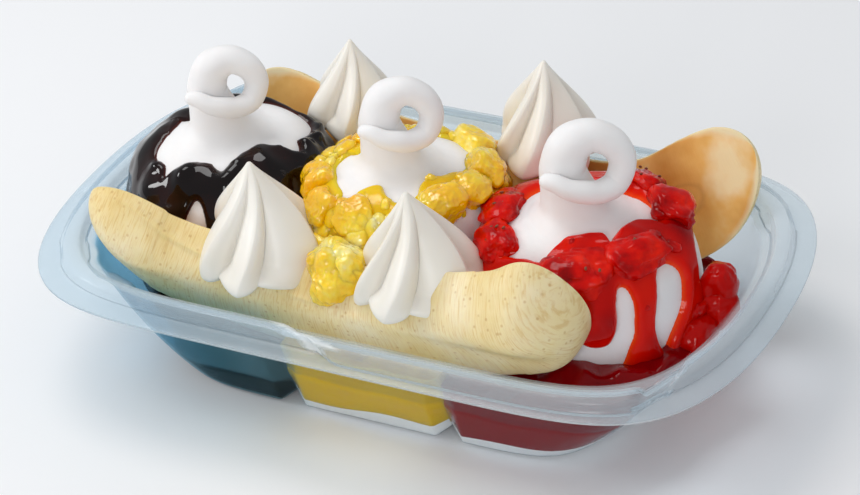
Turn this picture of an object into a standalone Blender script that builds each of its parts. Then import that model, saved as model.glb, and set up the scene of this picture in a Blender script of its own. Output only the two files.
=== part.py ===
"""Banana split: three soft-serve mounds between two banana halves, with chocolate, pineapple and
strawberry toppings and whipped-cream stars, in a clear boat dish with three shallow wells.

Sizes are in millimetres and become metres in add_solid. X runs along the dish, Y across it from the
front to the back, Z up. The origin is the middle of the dish's underside.
"""

import math

import bmesh
import bpy
import numpy as np
from mathutils import Vector

MM = 0.001
GAP = 0.35  # clear distance between pieces that touch

# Dish: outer half-sizes of the flange, heights above the table, and the wells.
RIM_X = 108.0
RIM_Y = 67.0
RIM_POWERS = (7.04, 2.228)
FLOOR_X = 59.5
FLOOR_Y = 38.8
FLOOR_POWERS = (8.0, 5.0)
FLOOR_ROUND = 1.6  # how far the wall steps out over the first millimetre
SKIRT_Z = 36.2
BEAD_Z = 40.6
WALL = 0.75
WALL_TOP_INSET = 14.0
WALL_TOP_Z = 36.6
END_WALL_POWER = 0.71  # under 1 makes the end walls rise shallowly first, then steeply
GROOVE_X = 24.2  # the ribs between the three wells
GROOVE_HALF = 4.0
GROOVE_DEEP = 3.2
GROOVE_FADE_Z = 12.0  # height at which a rib has sunk back into the wall
STRAIGHT_X = 38.0
# Ledge, bead and skirt of the flange, from the wall outwards: (inset, height).
FLANGE = ((10.4, SKIRT_Z + 1.4), (8.6, BEAD_Z), (4.9, BEAD_Z - 0.4), (4.0, SKIRT_Z + 1.0), (0.0, SKIRT_Z))
BEAD_INSET = 8.6
END_STEPS = 8
FILL_INSET = WALL + GAP + 0.35  # the last part allows for the slope of the wall
FILL_RAISED = WALL + GAP
FILL_END_STEPS = 5
WALL_LEVELS = (0.0, 1.0, 5.0, 13.0, 24.0, WALL_TOP_Z)
FILL_LEVELS = (0.0, 4.0, 18.0, WALL_TOP_Z)
SKY = 100.0  # above everything
CUT_TOP = 95.0
FAR = 200.0  # beyond every end of the dish
NEAR_MERGE = 0.01  # corners this near, in millimetres, are one between Booleans
NEAR_FLAT = 0.3  # faces this near to one plane, in degrees, are one between Booleans
FINAL_MERGES = (0.15, 0.1, 0.06, 0.03, 0.01)  # the same two at the end, the largest that will do
FINAL_FLATS = (2.5, 1.0, 0.3)

# Ice cream: one mound in each well.
MOUND_X = {"left": -60.0, "middle": -5.5, "right": 50.0}
MOUND_PROFILE = (
    (20.0, 1.4), (27.0, 9.0), (31.0, 22.0), (31.2, 38.0), (29.3, 47.0),
    (25.2, 54.0), (19.5, 59.5), (14.5, 63.0), (10.5, 66.0), (8.4, 69.0),
)
MOUND_SIDES = 18
PRESSED_X = (-32.8, 22.3)  # planes where neighbouring mounds press flat
SUNK = 5.0  # how far a cutter's underside lies below the mound's
FOOT_LEVEL = 7.5  # ice cream melted over the floor of the middle and right wells

# The curl on top: places along it as (to the right, to the front, above the neck, radius).
NECK_Z = {"left": 66.5, "middle": 66.5, "right": 65.0}
CURL = (
    (-2.5, 0.0, -6.0, 8.6), (-4.6, 0.0, 2.0, 7.0), (-5.4, 0.0, 8.0, 5.9), (-2.0, 0.0, 14.0, 4.9),
    (3.4, 0.0, 15.8, 4.2), (8.0, 1.0, 12.2, 3.5), (8.6, 2.8, 6.6, 3.1), (3.4, 5.4, 3.0, 3.0),
    (-4.0, 7.4, 3.6, 2.7), (-9.0, 6.4, 5.2, 2.4), (-12.2, 4.4, 6.8, 2.0),
)
CURL_SCALE = {"left": 1.0, "middle": 1.02, "right": 1.2}
CURL_FACING = math.radians(27.0)  # the loop faces a little to the right of the front
CURL_STEPS = 2
CURL_SIDES = 7
TAIL_FROM = 7  # the curl is two tubes, the second starting a little inside the first
TAIL_START = (0.9, 1.04)
DOMES = (0.6, 0.8)  # how far the ends of a tube bulge, as shares of their radii

# Banana halves: middle of the axis, lean of the flat face, and the arc along it.
BANANAS = {
    "banana_front": dict(middle=(-9.0, -29.0, 34.0), side=-1, arc=(165.0, 120.0), ends=(-81.0, 77.5),
                         radius=(14.6, 17.8)),
    "banana_back": dict(middle=(6.0, 32.0, 33.5), side=1, arc=(175.0, 132.0), ends=(-83.0, 84.5),
                        radius=(15.0, 16.8)),
}
BANANA_LEAN = math.radians(25.0)
BANANA_CAP = 15.0  # length over which an end rounds off
BANANA_TIP = 3.0  # how far the end point lies behind the flat face
BANANA_SPREAD = 0.45  # how much closer the stations lie near the ends
BANANA_STATIONS = 15
BANANA_SIDES = 8

# Whipped-cream stars: foot, lean of the tip, and height.
STARS = {
    "cream_star_front_left": dict(foot=(-33.0, -33.0, 41.5), tip=(-2.0, 0.0), radius=19.0, height=33.0),
    "cream_star_front_right": dict(foot=(14.5, -33.0, 43.0), tip=(-2.2, 0.0), radius=18.0, height=32.0),
    "cream_star_back_left": dict(foot=(-37.5, 34.0, 49.0), tip=(-1.0, 2.0), radius=13.5, height=26.5),
    "cream_star_back_right": dict(foot=(22.8, 34.0, 50.0), tip=(0.0, 2.0), radius=15.7, height=30.0),
}
STAR_PROFILE = (
    (0.0, 0.72), (0.10, 0.94), (0.22, 1.0), (0.38, 0.86),
    (0.55, 0.60), (0.73, 0.34), (0.88, 0.16), (1.0, 0.02),
)
STAR_LOBES = 7
STAR_FLUTE = 0.3  # depth of the valleys between lobes, as a share of the radius
STAR_TWIST = 0.35  # radians the lobes turn from foot to tip

# Sauces: height of the upper and lower edges of each drape, and the level in the well.
SAUCE_THICK = 2.2
DRAPE_LEVELS = 5
DRAPE_SUNK = 1.0  # the coat starts inside the mound, which is then cut out of it
SAUCES = {
    "chocolate_sauce": dict(mound="left", slot="chocolate", well=(-FAR, -GROOVE_X), level=21.0, bed=0.0,
                            top=61.2, low=50.0, waves=(1.0, 1.4)),
    "pineapple_sauce": dict(mound="middle", slot="pineapple", well=(-GROOVE_X, GROOVE_X), level=23.0,
                            bed=FOOT_LEVEL, top=61.5, low=52.5, waves=(1.2, 1.6)),
    "strawberry_sauce": dict(mound="right", slot="strawberry", well=(GROOVE_X, FAR), level=20.0,
                             bed=FOOT_LEVEL, top=60.0, low=46.5, waves=(1.4, 1.8)),
}
DRIPS = {  # drips as (angle round the mound, half-width, lower end); each coat reaches both pools
    "chocolate_sauce": ((-140.0, 34.0, 30.0), (-60.0, 20.0, 12.0), (60.0, 20.0, 12.0)),
    "pineapple_sauce": ((-120.0, 20.0, 12.0), (-80.0, 20.0, 38.0), (60.0, 20.0, 12.0)),
    "strawberry_sauce": ((-50.0, 24.0, 12.0), (0.0, 16.0, 12.0), (120.0, 20.0, 12.0)),
}

# Pieces of fruit on the mounds: (angle round the mound, height, size along, across and out).
PINEAPPLE_CHUNKS = (
    (-154.0, 57.0, 6.4, 5.2, 5.0), (-127.0, 55.0, 6.2, 5.2, 5.2), (-99.0, 56.5, 8.0, 5.4, 5.0),
    (-113.0, 46.6, 6.0, 4.2, 4.6), (-94.0, 40.0, 6.2, 6.0, 4.2), (-33.0, 58.5, 7.2, 5.4, 4.8),
    (-7.0, 58.0, 7.4, 6.0, 5.0), (24.0, 57.5, 7.4, 5.4, 4.8), (60.0, 56.5, 7.6, 5.2, 4.6),
)
STRAWBERRY_PIECES = (
    (-139.0, 53.5, 7.0, 5.4, 4.6), (-72.0, 55.0, 8.6, 7.0, 5.2), (-31.0, 56.5, 6.6, 6.0, 5.0),
    (30.0, 57.0, 7.8, 6.0, 5.2), (66.0, 58.0, 6.0, 4.6, 4.4), (-172.0, 56.0, 7.0, 5.2, 4.4),
    (0.0, 30.0, 6.6, 8.6, 5.4),
)
FRUIT_STAND = 1.3  # how far a piece's middle lies outside the mound
FRUIT_CORNERS = 15
FRUIT_SQUARE = 0.8  # under 1 makes the lumps blockier than a ball
FRUIT_UNEVEN = (0.86, 1.08)

FINISHES = {
    "dish": ((0.80, 0.88, 0.93, 1.0), 0.25),
    "ice_cream": ((0.93, 0.92, 0.89, 1.0), 0.45),
    "banana": ((0.86, 0.75, 0.48, 1.0), 0.55),
    "cream": ((0.95, 0.94, 0.90, 1.0), 0.40),
    "chocolate": ((0.045, 0.018, 0.012, 1.0), 0.15),
    "pineapple": ((0.92, 0.66, 0.03, 1.0), 0.20),
    "strawberry": ((0.62, 0.01, 0.01, 1.0), 0.15),
}


SLOTS = {"dish": "dish", "ice_cream": "ice_cream", "banana": "banana", "cream": "cream",
         "chocolate": "chocolate", "pineapple": "pineapple", "strawberry": "strawberry"}
SHARP = {"dish": 30.0, "pineapple": 35.0}  # degrees between faces that make a sharp edge
SHARP_ELSEWHERE = 50.0


def clear_scene():
    for thing in list(bpy.data.objects):
        bpy.data.objects.remove(thing, do_unlink=True)


def finish(slot):
    """The food's or the dish's own colour as a Principled material."""
    material = bpy.data.materials.get(slot)
    if material:
        return material
    colour, roughness = FINISHES[slot]
    material = bpy.data.materials.new(slot)
    material.use_nodes = True
    shader = material.node_tree.nodes["Principled BSDF"]
    shader.inputs["Base Color"].default_value = colour
    shader.inputs["Roughness"].default_value = roughness
    shader.inputs["Metallic"].default_value = 0.0
    return material


def add_solid(name, points, faces, slot):
    """A closed mesh from points in millimetres, with its faces turned outwards."""
    bm = bmesh.new()
    verts = [bm.verts.new(Vector(p) * MM) for p in points]
    for face in faces:
        bm.faces.new([verts[i] for i in face])
    bmesh.ops.recalc_face_normals(bm, faces=bm.faces)
    mesh = bpy.data.meshes.new(name)
    bm.to_mesh(mesh)
    bm.free()
    thing = bpy.data.objects.new(name, mesh)
    bpy.context.scene.collection.objects.link(thing)
    mesh.materials.append(finish(slot))
    return thing


def loft_sides(count, levels):
    """Faces between neighbouring rings, numbered ring by ring."""
    faces = []
    for k in range(levels - 1):
        for i in range(count):
            j = (i + 1) % count
            faces.append((k * count + i, k * count + j, (k + 1) * count + j, (k + 1) * count + i))
    return faces


def add_rings(name, rings, slot, start=None, end=None):
    """A skin over closed rings of equal count; each end is a cap, or runs to the point given."""
    count = len(rings[0])
    points = [tuple(p) for ring in rings for p in ring]
    faces = loft_sides(count, len(rings))
    for base, tip in ((0, start), ((len(rings) - 1) * count, end)):
        if tip is None:
            faces.append(tuple(range(base, base + count)))
            continue
        points.append(tuple(tip))
        for i in range(count):
            faces.append((base + i, base + (i + 1) % count, len(points) - 1))
    return add_solid(name, points, faces, slot)


def add_box(low, high):
    """A plain block between two corners, to trim a piece with."""
    corners = [(x, y, z) for x in (low[0], high[0]) for y in (low[1], high[1]) for z in (low[2], high[2])]
    faces = ((0, 1, 3, 2), (4, 6, 7, 5), (0, 4, 5, 1), (2, 3, 7, 6), (0, 2, 6, 4), (1, 5, 7, 3))
    return add_solid("block", corners, faces, "dish")


def reach(thing):
    """Lowest and highest corner of a piece, in metres."""
    corners = np.array([tuple(v.co) for v in thing.data.vertices])
    return corners.min(axis=0), corners.max(axis=0)


def simplify(thing, merge, flat):
    """Merges near corners and joins flat neighbours; a result that isn't closed is thrown away."""
    bm = bmesh.new()
    bm.from_mesh(thing.data)
    bmesh.ops.remove_doubles(bm, verts=bm.verts, dist=merge * MM)
    bmesh.ops.dissolve_degenerate(bm, edges=bm.edges, dist=0.2 * merge * MM)
    bmesh.ops.dissolve_limit(bm, angle_limit=math.radians(flat), verts=bm.verts, edges=bm.edges)
    bmesh.ops.triangulate(bm, faces=bm.faces)
    closed = all(edge.is_manifold for edge in bm.edges)
    if closed:
        bm.to_mesh(thing.data)
    bm.free()
    return closed


def to_triangles(thing):
    """Flat faces only, which the Boolean needs to stay exact."""
    if simplify(thing, NEAR_MERGE, NEAR_FLAT):
        return
    bm = bmesh.new()
    bm.from_mesh(thing.data)
    bmesh.ops.triangulate(bm, faces=bm.faces)
    bm.to_mesh(thing.data)
    bm.free()


def combine(thing, other, operation):
    """Joins, cuts or intersects the first piece with the second, and drops the second."""
    low, high = reach(thing)
    other_low, other_high = reach(other)
    if (low <= other_high).all() and (other_low <= high).all():
        to_triangles(thing)
        to_triangles(other)
        modifier = thing.modifiers.new("Boolean", "BOOLEAN")
        modifier.operation = operation
        modifier.solver = "EXACT"
        modifier.object = other
        graph = bpy.context.evaluated_depsgraph_get()
        made = bpy.data.meshes.new_from_object(thing.evaluated_get(graph))
        thing.modifiers.clear()
        thing.data = made
    bpy.data.objects.remove(other, do_unlink=True)
    return thing


def carve(thing, cutters):
    """Cuts pieces of clearance shape out of a piece, and drops them and any loose sliver."""
    for cutter in cutters:
        combine(thing, cutter, "DIFFERENCE")
    keep_largest(thing)
    return thing


def keep_largest(thing):
    """Deletes every loose bit but the one with the most corners."""
    bm = bmesh.new()
    bm.from_mesh(thing.data)
    left = set(bm.verts)
    bits = []
    while left:
        bit = set()
        edge = {left.pop()}
        while edge:
            bit |= edge
            edge = {e.other_vert(v) for v in edge for e in v.link_edges} - bit
        left -= bit
        bits.append(bit)
    bits.sort(key=len)
    bmesh.ops.delete(bm, geom=[v for bit in bits[:-1] for v in bit], context="VERTS")
    bm.to_mesh(thing.data)
    bm.free()


def tidy(thing):
    """Takes out as many small and flat faces as the piece can lose and stay one closed skin."""
    for merge in FINAL_MERGES:
        for flat in FINAL_FLATS:
            if simplify(thing, merge, flat):
                return


def soften(thing):
    """One material for the whole piece, and smooth shading up to its sharp edges."""
    slot = next(slot for stem, slot in SLOTS.items() if thing.name.startswith(stem))
    thing.data.materials.clear()
    thing.data.materials.append(finish(slot))
    thing.data.shade_smooth()
    thing.data.set_sharp_from_angle(angle=math.radians(SHARP.get(slot, SHARP_ELSEWHERE)))


# ---------------------------------------------------------------- dish


def dish_ring(half_x, half_y, powers, height, depth, lift, steps=END_STEPS):
    """One level of the dish: a superellipse, with two V grooves across it on each long side."""
    nx, ny = powers
    straight = np.array([0.0, 10.0, GROOVE_X - GROOVE_HALF, GROOVE_X, GROOVE_X + GROOVE_HALF])
    turn = math.acos((STRAIGHT_X / half_x) ** (nx / 2))
    turns = turn * np.linspace(1.0, 0.0, steps + 1)
    xs = np.concatenate([straight, half_x * np.cos(turns) ** (2 / nx)])
    groove = np.clip(1 - np.abs(xs - GROOVE_X) / GROOVE_HALF, 0, 1)
    ys = half_y * (1 - np.minimum(xs / half_x, 1.0) ** nx) ** (1 / ny) - depth * groove
    ys[-1] = 0.0
    zs = height + lift * groove
    quarter = np.column_stack([xs, ys, zs])
    right = np.concatenate([quarter * (1, -1, 1), quarter[-2::-1]])
    left = right[-2:0:-1] * (-1, 1, 1)
    return np.concatenate([right, left])


def wall_ring(height, inset=0.0, raised=0.0, steps=END_STEPS):
    """The wall's ring at a height, moved in and up for the space inside."""
    share = height / WALL_TOP_Z
    half_x = FLOOR_X + (RIM_X - WALL_TOP_INSET - FLOOR_X) * share**END_WALL_POWER
    half_y = FLOOR_Y + FLOOR_ROUND * min(height, WALL_LEVELS[1])
    half_y += (RIM_Y - WALL_TOP_INSET - FLOOR_Y - FLOOR_ROUND) * share
    powers = [low + (high - low) * share for low, high in zip(FLOOR_POWERS, RIM_POWERS)]
    depth = GROOVE_DEEP * (1 - share**2)
    lift = GROOVE_DEEP * max(0.0, 1 - height / GROOVE_FADE_Z)
    ring = dish_ring(half_x - inset, half_y - inset, powers, height, depth, lift, steps)
    ring[:, 2] += raised
    return ring


def flange_ring(inset, height, steps=END_STEPS):
    return dish_ring(RIM_X - inset, RIM_Y - inset, RIM_POWERS, height, 0.0, 0.0, steps)


def floor_faces(count):
    """Strips across the floor between facing points of the lowest ring."""
    half = count // 2
    pairs = [(i, (half - i) % count) for i in range(-(half // 2), half // 2 + 1)]
    faces = []
    for (a, b), (c, d) in zip(pairs, pairs[1:]):
        faces.append(tuple(dict.fromkeys((a % count, c % count, d % count, b % count))))
    return faces


def make_dish():
    """A thin sheet lofted from the floor over the wall and flange, then given its wall."""
    rings = [wall_ring(z) for z in WALL_LEVELS] + [flange_ring(inset, z) for inset, z in FLANGE]
    count = len(rings[0])
    points = [tuple(p) for ring in rings for p in ring]
    dish = add_solid("dish", points, floor_faces(count) + loft_sides(count, len(rings)), "dish")
    if dish.data.polygons[0].normal.z > 0:
        dish.data.flip_normals()
    modifier = dish.modifiers.new("Solidify", "SOLIDIFY")
    modifier.thickness = WALL * MM
    modifier.offset = -1.0
    modifier.use_even_offset = True
    graph = bpy.context.evaluated_depsgraph_get()
    made = bpy.data.meshes.new_from_object(dish.evaluated_get(graph))
    dish.modifiers.clear()
    dish.data = made


def block_of(rings):
    """A solid whose floor is the first ring and whose lid is the last."""
    count = len(rings[0])
    points = [tuple(p) for ring in rings for p in ring]
    lid = tuple(range((len(rings) - 1) * count, len(rings) * count))
    return add_solid("block", points, floor_faces(count) + loft_sides(count, len(rings)) + [lid], "dish")


def inner_rings():
    return [wall_ring(z, FILL_INSET, FILL_RAISED, FILL_END_STEPS) for z in FILL_LEVELS]


def well_fill(low_x, high_x, low_z, high_z):
    """The space inside the dish, carried on straight up, between two planes and two levels."""
    rings = inner_rings()
    rings.append(rings[-1] * (1, 1, 0) + (0, 0, SKY))
    return combine(block_of(rings), add_box((low_x, -SKY, low_z), (high_x, SKY, high_z)), "INTERSECT")


def dish_body():
    """A block up to just above the dish's wall and bead, to keep a piece that lies over the rim clear."""
    rings = inner_rings()
    rings.append(flange_ring(BEAD_INSET + FILL_INSET, BEAD_Z + FILL_RAISED, FILL_END_STEPS))
    rings.append(flange_ring(0.0, BEAD_Z + FILL_RAISED, FILL_END_STEPS))
    rings.append(flange_ring(0.0, -SKY, FILL_END_STEPS))
    return block_of(rings)


# ---------------------------------------------------------------- ice cream


def mound_radius(height):
    radii, heights = zip(*MOUND_PROFILE)
    return float(np.interp(height, heights, radii))


def mound_limits(side):
    """How far along X a mound reaches before it presses against its neighbour."""
    return {
        "left": (-FAR, PRESSED_X[0] - GAP / 2),
        "middle": (PRESSED_X[0] + GAP / 2, PRESSED_X[1] - GAP / 2),
        "right": (PRESSED_X[1] + GAP / 2, FAR),
    }[side]


def round_ring(centre_x, radius, height, sides=MOUND_SIDES):
    angles = np.radians(np.arange(sides) * 360.0 / sides)
    return [(centre_x + radius * math.cos(a), radius * math.sin(a), height) for a in angles]


def smooth_path(rows, steps):
    """Catmull-Rom points through rows of numbers."""
    rows = np.array(rows, float)
    padded = np.vstack([2 * rows[0] - rows[1], rows, 2 * rows[-1] - rows[-2]])
    out = []
    for i in range(len(rows) - 1):
        p0, p1, p2, p3 = padded[i:i + 4]
        for t in np.arange(steps) / steps:
            out.append(0.5 * (2 * p1 + (p2 - p0) * t + (2 * p0 - 5 * p1 + 4 * p2 - p3) * t**2
                              + (3 * p1 - p0 - 3 * p2 + p3) * t**3))
    out.append(rows[-1])
    return np.array(out)


def tube(name, path, radii, sides, slot):
    """Rings square to a path, turned as little as possible from one to the next, with domed ends."""
    ahead = np.gradient(path, axis=0)
    ahead /= np.linalg.norm(ahead, axis=1)[:, None]
    across = np.cross(ahead[0], (0.0, 1.0, 0.3))
    rings = []
    for point, along, radius in zip(path, ahead, radii):
        across = across - along * np.dot(across, along)
        across /= np.linalg.norm(across)
        other = np.cross(along, across)
        angles = np.arange(sides) * 2 * math.pi / sides
        rings.append(point + radius * (np.outer(np.cos(angles), across) + np.outer(np.sin(angles), other)))
    start = path[0] - ahead[0] * radii[0] * DOMES[0]
    end = path[-1] + ahead[-1] * radii[-1] * DOMES[1]
    return add_rings(name, rings, slot, start, end)


def curl_path(side):
    """The curl's path and radii in the dish's frame."""
    rows = smooth_path(CURL, CURL_STEPS)
    scale = CURL_SCALE[side]
    right = np.array([math.cos(CURL_FACING), math.sin(CURL_FACING), 0.0])
    front = np.array([math.sin(CURL_FACING), -math.cos(CURL_FACING), 0.0])
    base = np.array([MOUND_X[side], 0.0, NECK_Z[side]])
    path = base + scale * (np.outer(rows[:, 0], right) + np.outer(rows[:, 1], front))
    path[:, 2] += scale * rows[:, 2]
    return path, rows[:, 3] * scale


def mound_skin(side, grow=0.0):
    """A round mound that narrows to a neck, pressed flat against its neighbours."""
    low_x, high_x = mound_limits(side)
    rings = []
    for radius, height in MOUND_PROFILE:
        ring = round_ring(MOUND_X[side], radius + grow, height)
        rings.append([(min(max(x, low_x - grow), high_x + grow), y, z) for x, y, z in ring])
    if grow:
        bottom = [(x, y, z - SUNK) for x, y, z in rings[0]]
        rings.insert(0, bottom)
    return add_rings("ice_cream_" + side, rings, "ice_cream")


def make_ice_cream(side, cutters):
    """A mound with a curl that loops over and crosses its own neck, and melted ice cream round it."""
    mound = mound_skin(side)
    combine(mound, well_fill(-FAR, FAR, 0.0, CUT_TOP), "INTERSECT")
    carve(mound, cutters)
    path, radii = curl_path(side)
    cut = TAIL_FROM * CURL_STEPS
    combine(mound, tube("loop", path[:cut + 1], radii[:cut + 1], CURL_SIDES, "ice_cream"), "UNION")
    radii[cut - 1] *= TAIL_START[0]
    radii[cut] *= TAIL_START[1]
    combine(mound, tube("tail", path[cut - 1:], radii[cut - 1:], CURL_SIDES, "ice_cream"), "UNION")
    wells = [spec["well"] for spec in SAUCES.values() if spec["mound"] == side and spec["bed"]]
    for low_well, high_well in wells:
        foot = well_fill(low_well + GAP / 2, high_well - GAP / 2, 0.0, FOOT_LEVEL - GAP)
        combine(mound, foot, "UNION")
    keep_largest(mound)
    return mound


# ---------------------------------------------------------------- banana


def banana_axis(spec, along):
    """Point and radial direction on the axis, which bends up more on one side of its middle."""
    arc = spec["arc"][0 if along < 0 else 1]
    angle = along / arc
    up = np.array([0.0, spec["side"] * math.sin(BANANA_LEAN), math.cos(BANANA_LEAN)])
    right = np.array([1.0, 0.0, 0.0])
    point = np.array(spec["middle"]) + right * arc * math.sin(angle) + up * arc * (1 - math.cos(angle))
    return point, up * math.cos(angle) - right * math.sin(angle)


def banana_radius(spec, along):
    """Radius at a place along the banana: it swells from one end to the other and rounds off."""
    first, last = spec["ends"]
    share = (along - first) / (last - first)
    body = spec["radius"][0] + (spec["radius"][1] - spec["radius"][0]) * math.sin(share * math.pi / 2)
    near = min(along - first, last - along)
    if near >= BANANA_CAP:
        return body
    return body * math.sqrt(max(0.0, 1 - (1 - near / BANANA_CAP) ** 2))


def make_banana(name, grow=0.0):
    """Half a banana cut lengthways: round outside, flat cut face towards the ice cream."""
    spec = BANANAS[name]
    outwards = np.array([0.0, spec["side"] * math.cos(BANANA_LEAN), -math.sin(BANANA_LEAN)])
    first, last = spec["ends"]
    middle = (last - first) / 2
    spread = np.cos(np.linspace(math.pi, 0, BANANA_STATIONS))
    stations = first + middle * (1 + (1 - BANANA_SPREAD) * spread + BANANA_SPREAD * spread**3)
    angles = np.linspace(0, math.pi, BANANA_SIDES + 1)
    rings = []
    for along in stations[1:-1]:
        point, radial = banana_axis(spec, along)
        radius = banana_radius(spec, along) + grow
        ring = point + radius * (np.outer(np.cos(angles), radial) + np.outer(np.sin(angles), outwards))
        ring[0] -= outwards * grow
        ring[-1] -= outwards * grow
        rings.append(ring)
    tips = []
    for along, way in ((first, -grow), (last, grow)):
        point, radial = banana_axis(spec, along)
        tips.append(point + outwards * BANANA_TIP + way * np.cross(radial, outwards) * -spec["side"])
    return add_rings(name, rings, "banana", *tips)


# ---------------------------------------------------------------- cream stars


def make_star(name):
    """A piped star: a fluted onion dome drawn up to a point, its flutes turning a little."""
    spec = STARS[name]
    foot = np.array(spec["foot"])
    rings = []
    for share, width in STAR_PROFILE:
        angles = np.arange(STAR_LOBES * 2) * math.pi / STAR_LOBES
        crest = np.where(np.arange(STAR_LOBES * 2) % 2 == 0, 1.0, 1.0 - STAR_FLUTE)
        turned = angles + STAR_TWIST * share
        radius = spec["radius"] * width * crest
        centre = foot + np.array([spec["tip"][0] * share, spec["tip"][1] * share, spec["height"] * share])
        ring = np.column_stack([radius * np.cos(turned), radius * np.sin(turned), np.zeros(len(turned))])
        rings.append(centre + ring)
    return add_rings(name, rings, "cream")


# ---------------------------------------------------------------- sauces


def edge_heights(name, angle):
    """Upper and lower edge of a sauce at an angle round its mound, with waves and drips."""
    spec = SAUCES[name]
    turn = math.radians(angle)
    wave = math.sin(3 * turn + 0.6) + 0.6 * math.sin(7 * turn + 1.9)
    top = spec["top"] + spec["waves"][0] * wave
    low = spec["low"] - spec["waves"][1] * math.sin(5 * turn + 0.8)
    for centre, half, end in DRIPS[name]:
        away = abs((angle - centre + 180.0) % 360.0 - 180.0)
        share = max(0.0, 1 - away / half)
        low = min(low, low + (end - low) * min(1.0, 1.6 * share))
    return top, low


def make_drape(name):
    """The coat of sauce round the mound, from its wavy upper edge to its dripping lower one."""
    spec = SAUCES[name]
    centre_x = MOUND_X[spec["mound"]]
    turns = np.radians(np.arange(MOUND_SIDES) * 360.0 / MOUND_SIDES)
    edges = np.array([edge_heights(name, math.degrees(turn)) for turn in turns])

    def ring(share, stand):
        heights = edges[:, 1] + (edges[:, 0] - edges[:, 1]) * share
        radii = np.array([mound_radius(h) for h in heights]) + stand
        return np.column_stack([centre_x + radii * np.cos(turns), radii * np.sin(turns), heights])

    shares = np.linspace(0.0, 1.0, DRAPE_LEVELS)
    bulge = np.sin(np.pi * np.minimum(1.0, 0.2 + shares))
    stands = GAP + SAUCE_THICK * (0.3 + 0.7 * bulge)
    rings = [ring(share, stand) for share, stand in zip(shares, stands)]
    rings.insert(0, ring(0.0, -DRAPE_SUNK))
    rings.append(ring(1.0, -DRAPE_SUNK))
    points = [tuple(p) for level in rings for p in level]
    count = MOUND_SIDES
    faces = []
    for k in range(len(rings)):
        a, b = k * count, (k + 1) % len(rings) * count
        faces += [(a + i, a + (i + 1) % count, b + (i + 1) % count, b + i) for i in range(count)]
    return add_solid(name, points, faces, spec["slot"])


def make_sauce(name, cutters):
    """The drape and the pool in the well, joined, and cut clear of what they touch."""
    spec = SAUCES[name]
    low_x, high_x = mound_limits(spec["mound"])
    sauce = make_drape(name)
    combine(sauce, well_fill(low_x, high_x, 0.0, CUT_TOP), "INTERSECT")
    pool = well_fill(spec["well"][0] + GAP / 2, spec["well"][1] - GAP / 2, spec["bed"], spec["level"])
    combine(sauce, pool, "UNION")
    return carve(sauce, [mound_skin(side, GAP) for side in MOUND_X] + cutters)


# ---------------------------------------------------------------- fruit


def make_fruit(name, side, place, slot, seed, grow=0.0):
    """A rounded, uneven lump of fruit on the side of a mound."""
    angle, height, along, across, out = place
    turn = math.radians(angle)
    radius = mound_radius(height) + FRUIT_STAND
    centre = np.array([MOUND_X[side] + radius * math.cos(turn), radius * math.sin(turn), height])
    steep = (mound_radius(height + 1) - mound_radius(height - 1)) / 2
    outward = np.array([math.cos(turn), math.sin(turn), -steep])
    outward /= np.linalg.norm(outward)
    sideways = np.array([-math.sin(turn), math.cos(turn), 0.0])
    upward = np.cross(outward, sideways)
    random = np.random.default_rng(seed)
    index = np.arange(FRUIT_CORNERS) + 0.5
    polar = np.arccos(1 - 2 * index / FRUIT_CORNERS)
    turns = index * math.pi * (1 + 5**0.5)
    ball = np.column_stack([np.cos(turns) * np.sin(polar), np.sin(turns) * np.sin(polar), np.cos(polar)])
    ball = np.sign(ball) * np.abs(ball) ** FRUIT_SQUARE
    ball *= random.uniform(*FRUIT_UNEVEN, (FRUIT_CORNERS, 1))
    sides = [sideways * (along + grow), upward * (across + grow), outward * (out + grow)]
    corners = centre + ball @ np.array(sides)
    bm = bmesh.new()
    for corner in corners:
        bm.verts.new(Vector(corner) * MM)
    hull = bmesh.ops.convex_hull(bm, input=bm.verts)
    unused = [g for g in hull["geom_interior"] + hull["geom_unused"] if isinstance(g, bmesh.types.BMVert)]
    bmesh.ops.delete(bm, geom=unused, context="VERTS")
    bmesh.ops.recalc_face_normals(bm, faces=bm.faces)
    mesh = bpy.data.meshes.new(name)
    bm.to_mesh(mesh)
    bm.free()
    lump = bpy.data.objects.new(name, mesh)
    bpy.context.scene.collection.objects.link(lump)
    lump.data.materials.append(finish(slot))
    return lump


# ---------------------------------------------------------------- the whole dessert


FRUIT = {
    "middle": ("pineapple_chunk_", PINEAPPLE_CHUNKS, "pineapple", 0),
    "right": ("strawberry_piece_", STRAWBERRY_PIECES, "strawberry", 40),
}


def fruit_row(side, grow=0.0, count=None):
    """The first few pieces of fruit on one mound, or all of them."""
    if side not in FRUIT:
        return []
    stem, places, slot, seed = FRUIT[side]
    chosen = list(enumerate(places, 1))[:count]
    return [make_fruit(f"{stem}{k}", side, place, slot, seed + k, grow) for k, place in chosen]


def main():
    clear_scene()
    make_dish()
    for name in BANANAS:
        carve(make_banana(name), [dish_body()])
    for side in MOUND_X:
        make_ice_cream(side, [make_banana(name, GAP) for name in BANANAS])
    for side in FRUIT:
        for earlier, lump in enumerate(fruit_row(side)):
            combine(lump, well_fill(*mound_limits(side), 0.0, CUT_TOP), "INTERSECT")
            cutters = [mound_skin(side, GAP), dish_body()] + fruit_row(side, GAP, earlier)
            carve(lump, cutters + [make_banana(name, GAP) for name in BANANAS])
    for name, spec in SAUCES.items():
        make_sauce(name, [make_banana(other, GAP) for other in BANANAS] + fruit_row(spec["mound"], GAP))
    coat = SAUCE_THICK + 2 * GAP
    for name in STARS:
        cutters = [mound_skin(side, coat) for side in MOUND_X]
        cutters += [make_banana(other, GAP) for other in BANANAS]
        cutters += fruit_row("middle", GAP) + fruit_row("right", GAP)
        carve(make_star(name), cutters)
    for thing in list(bpy.data.objects):
        tidy(thing)
        soften(thing)



main()
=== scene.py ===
import math

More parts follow.
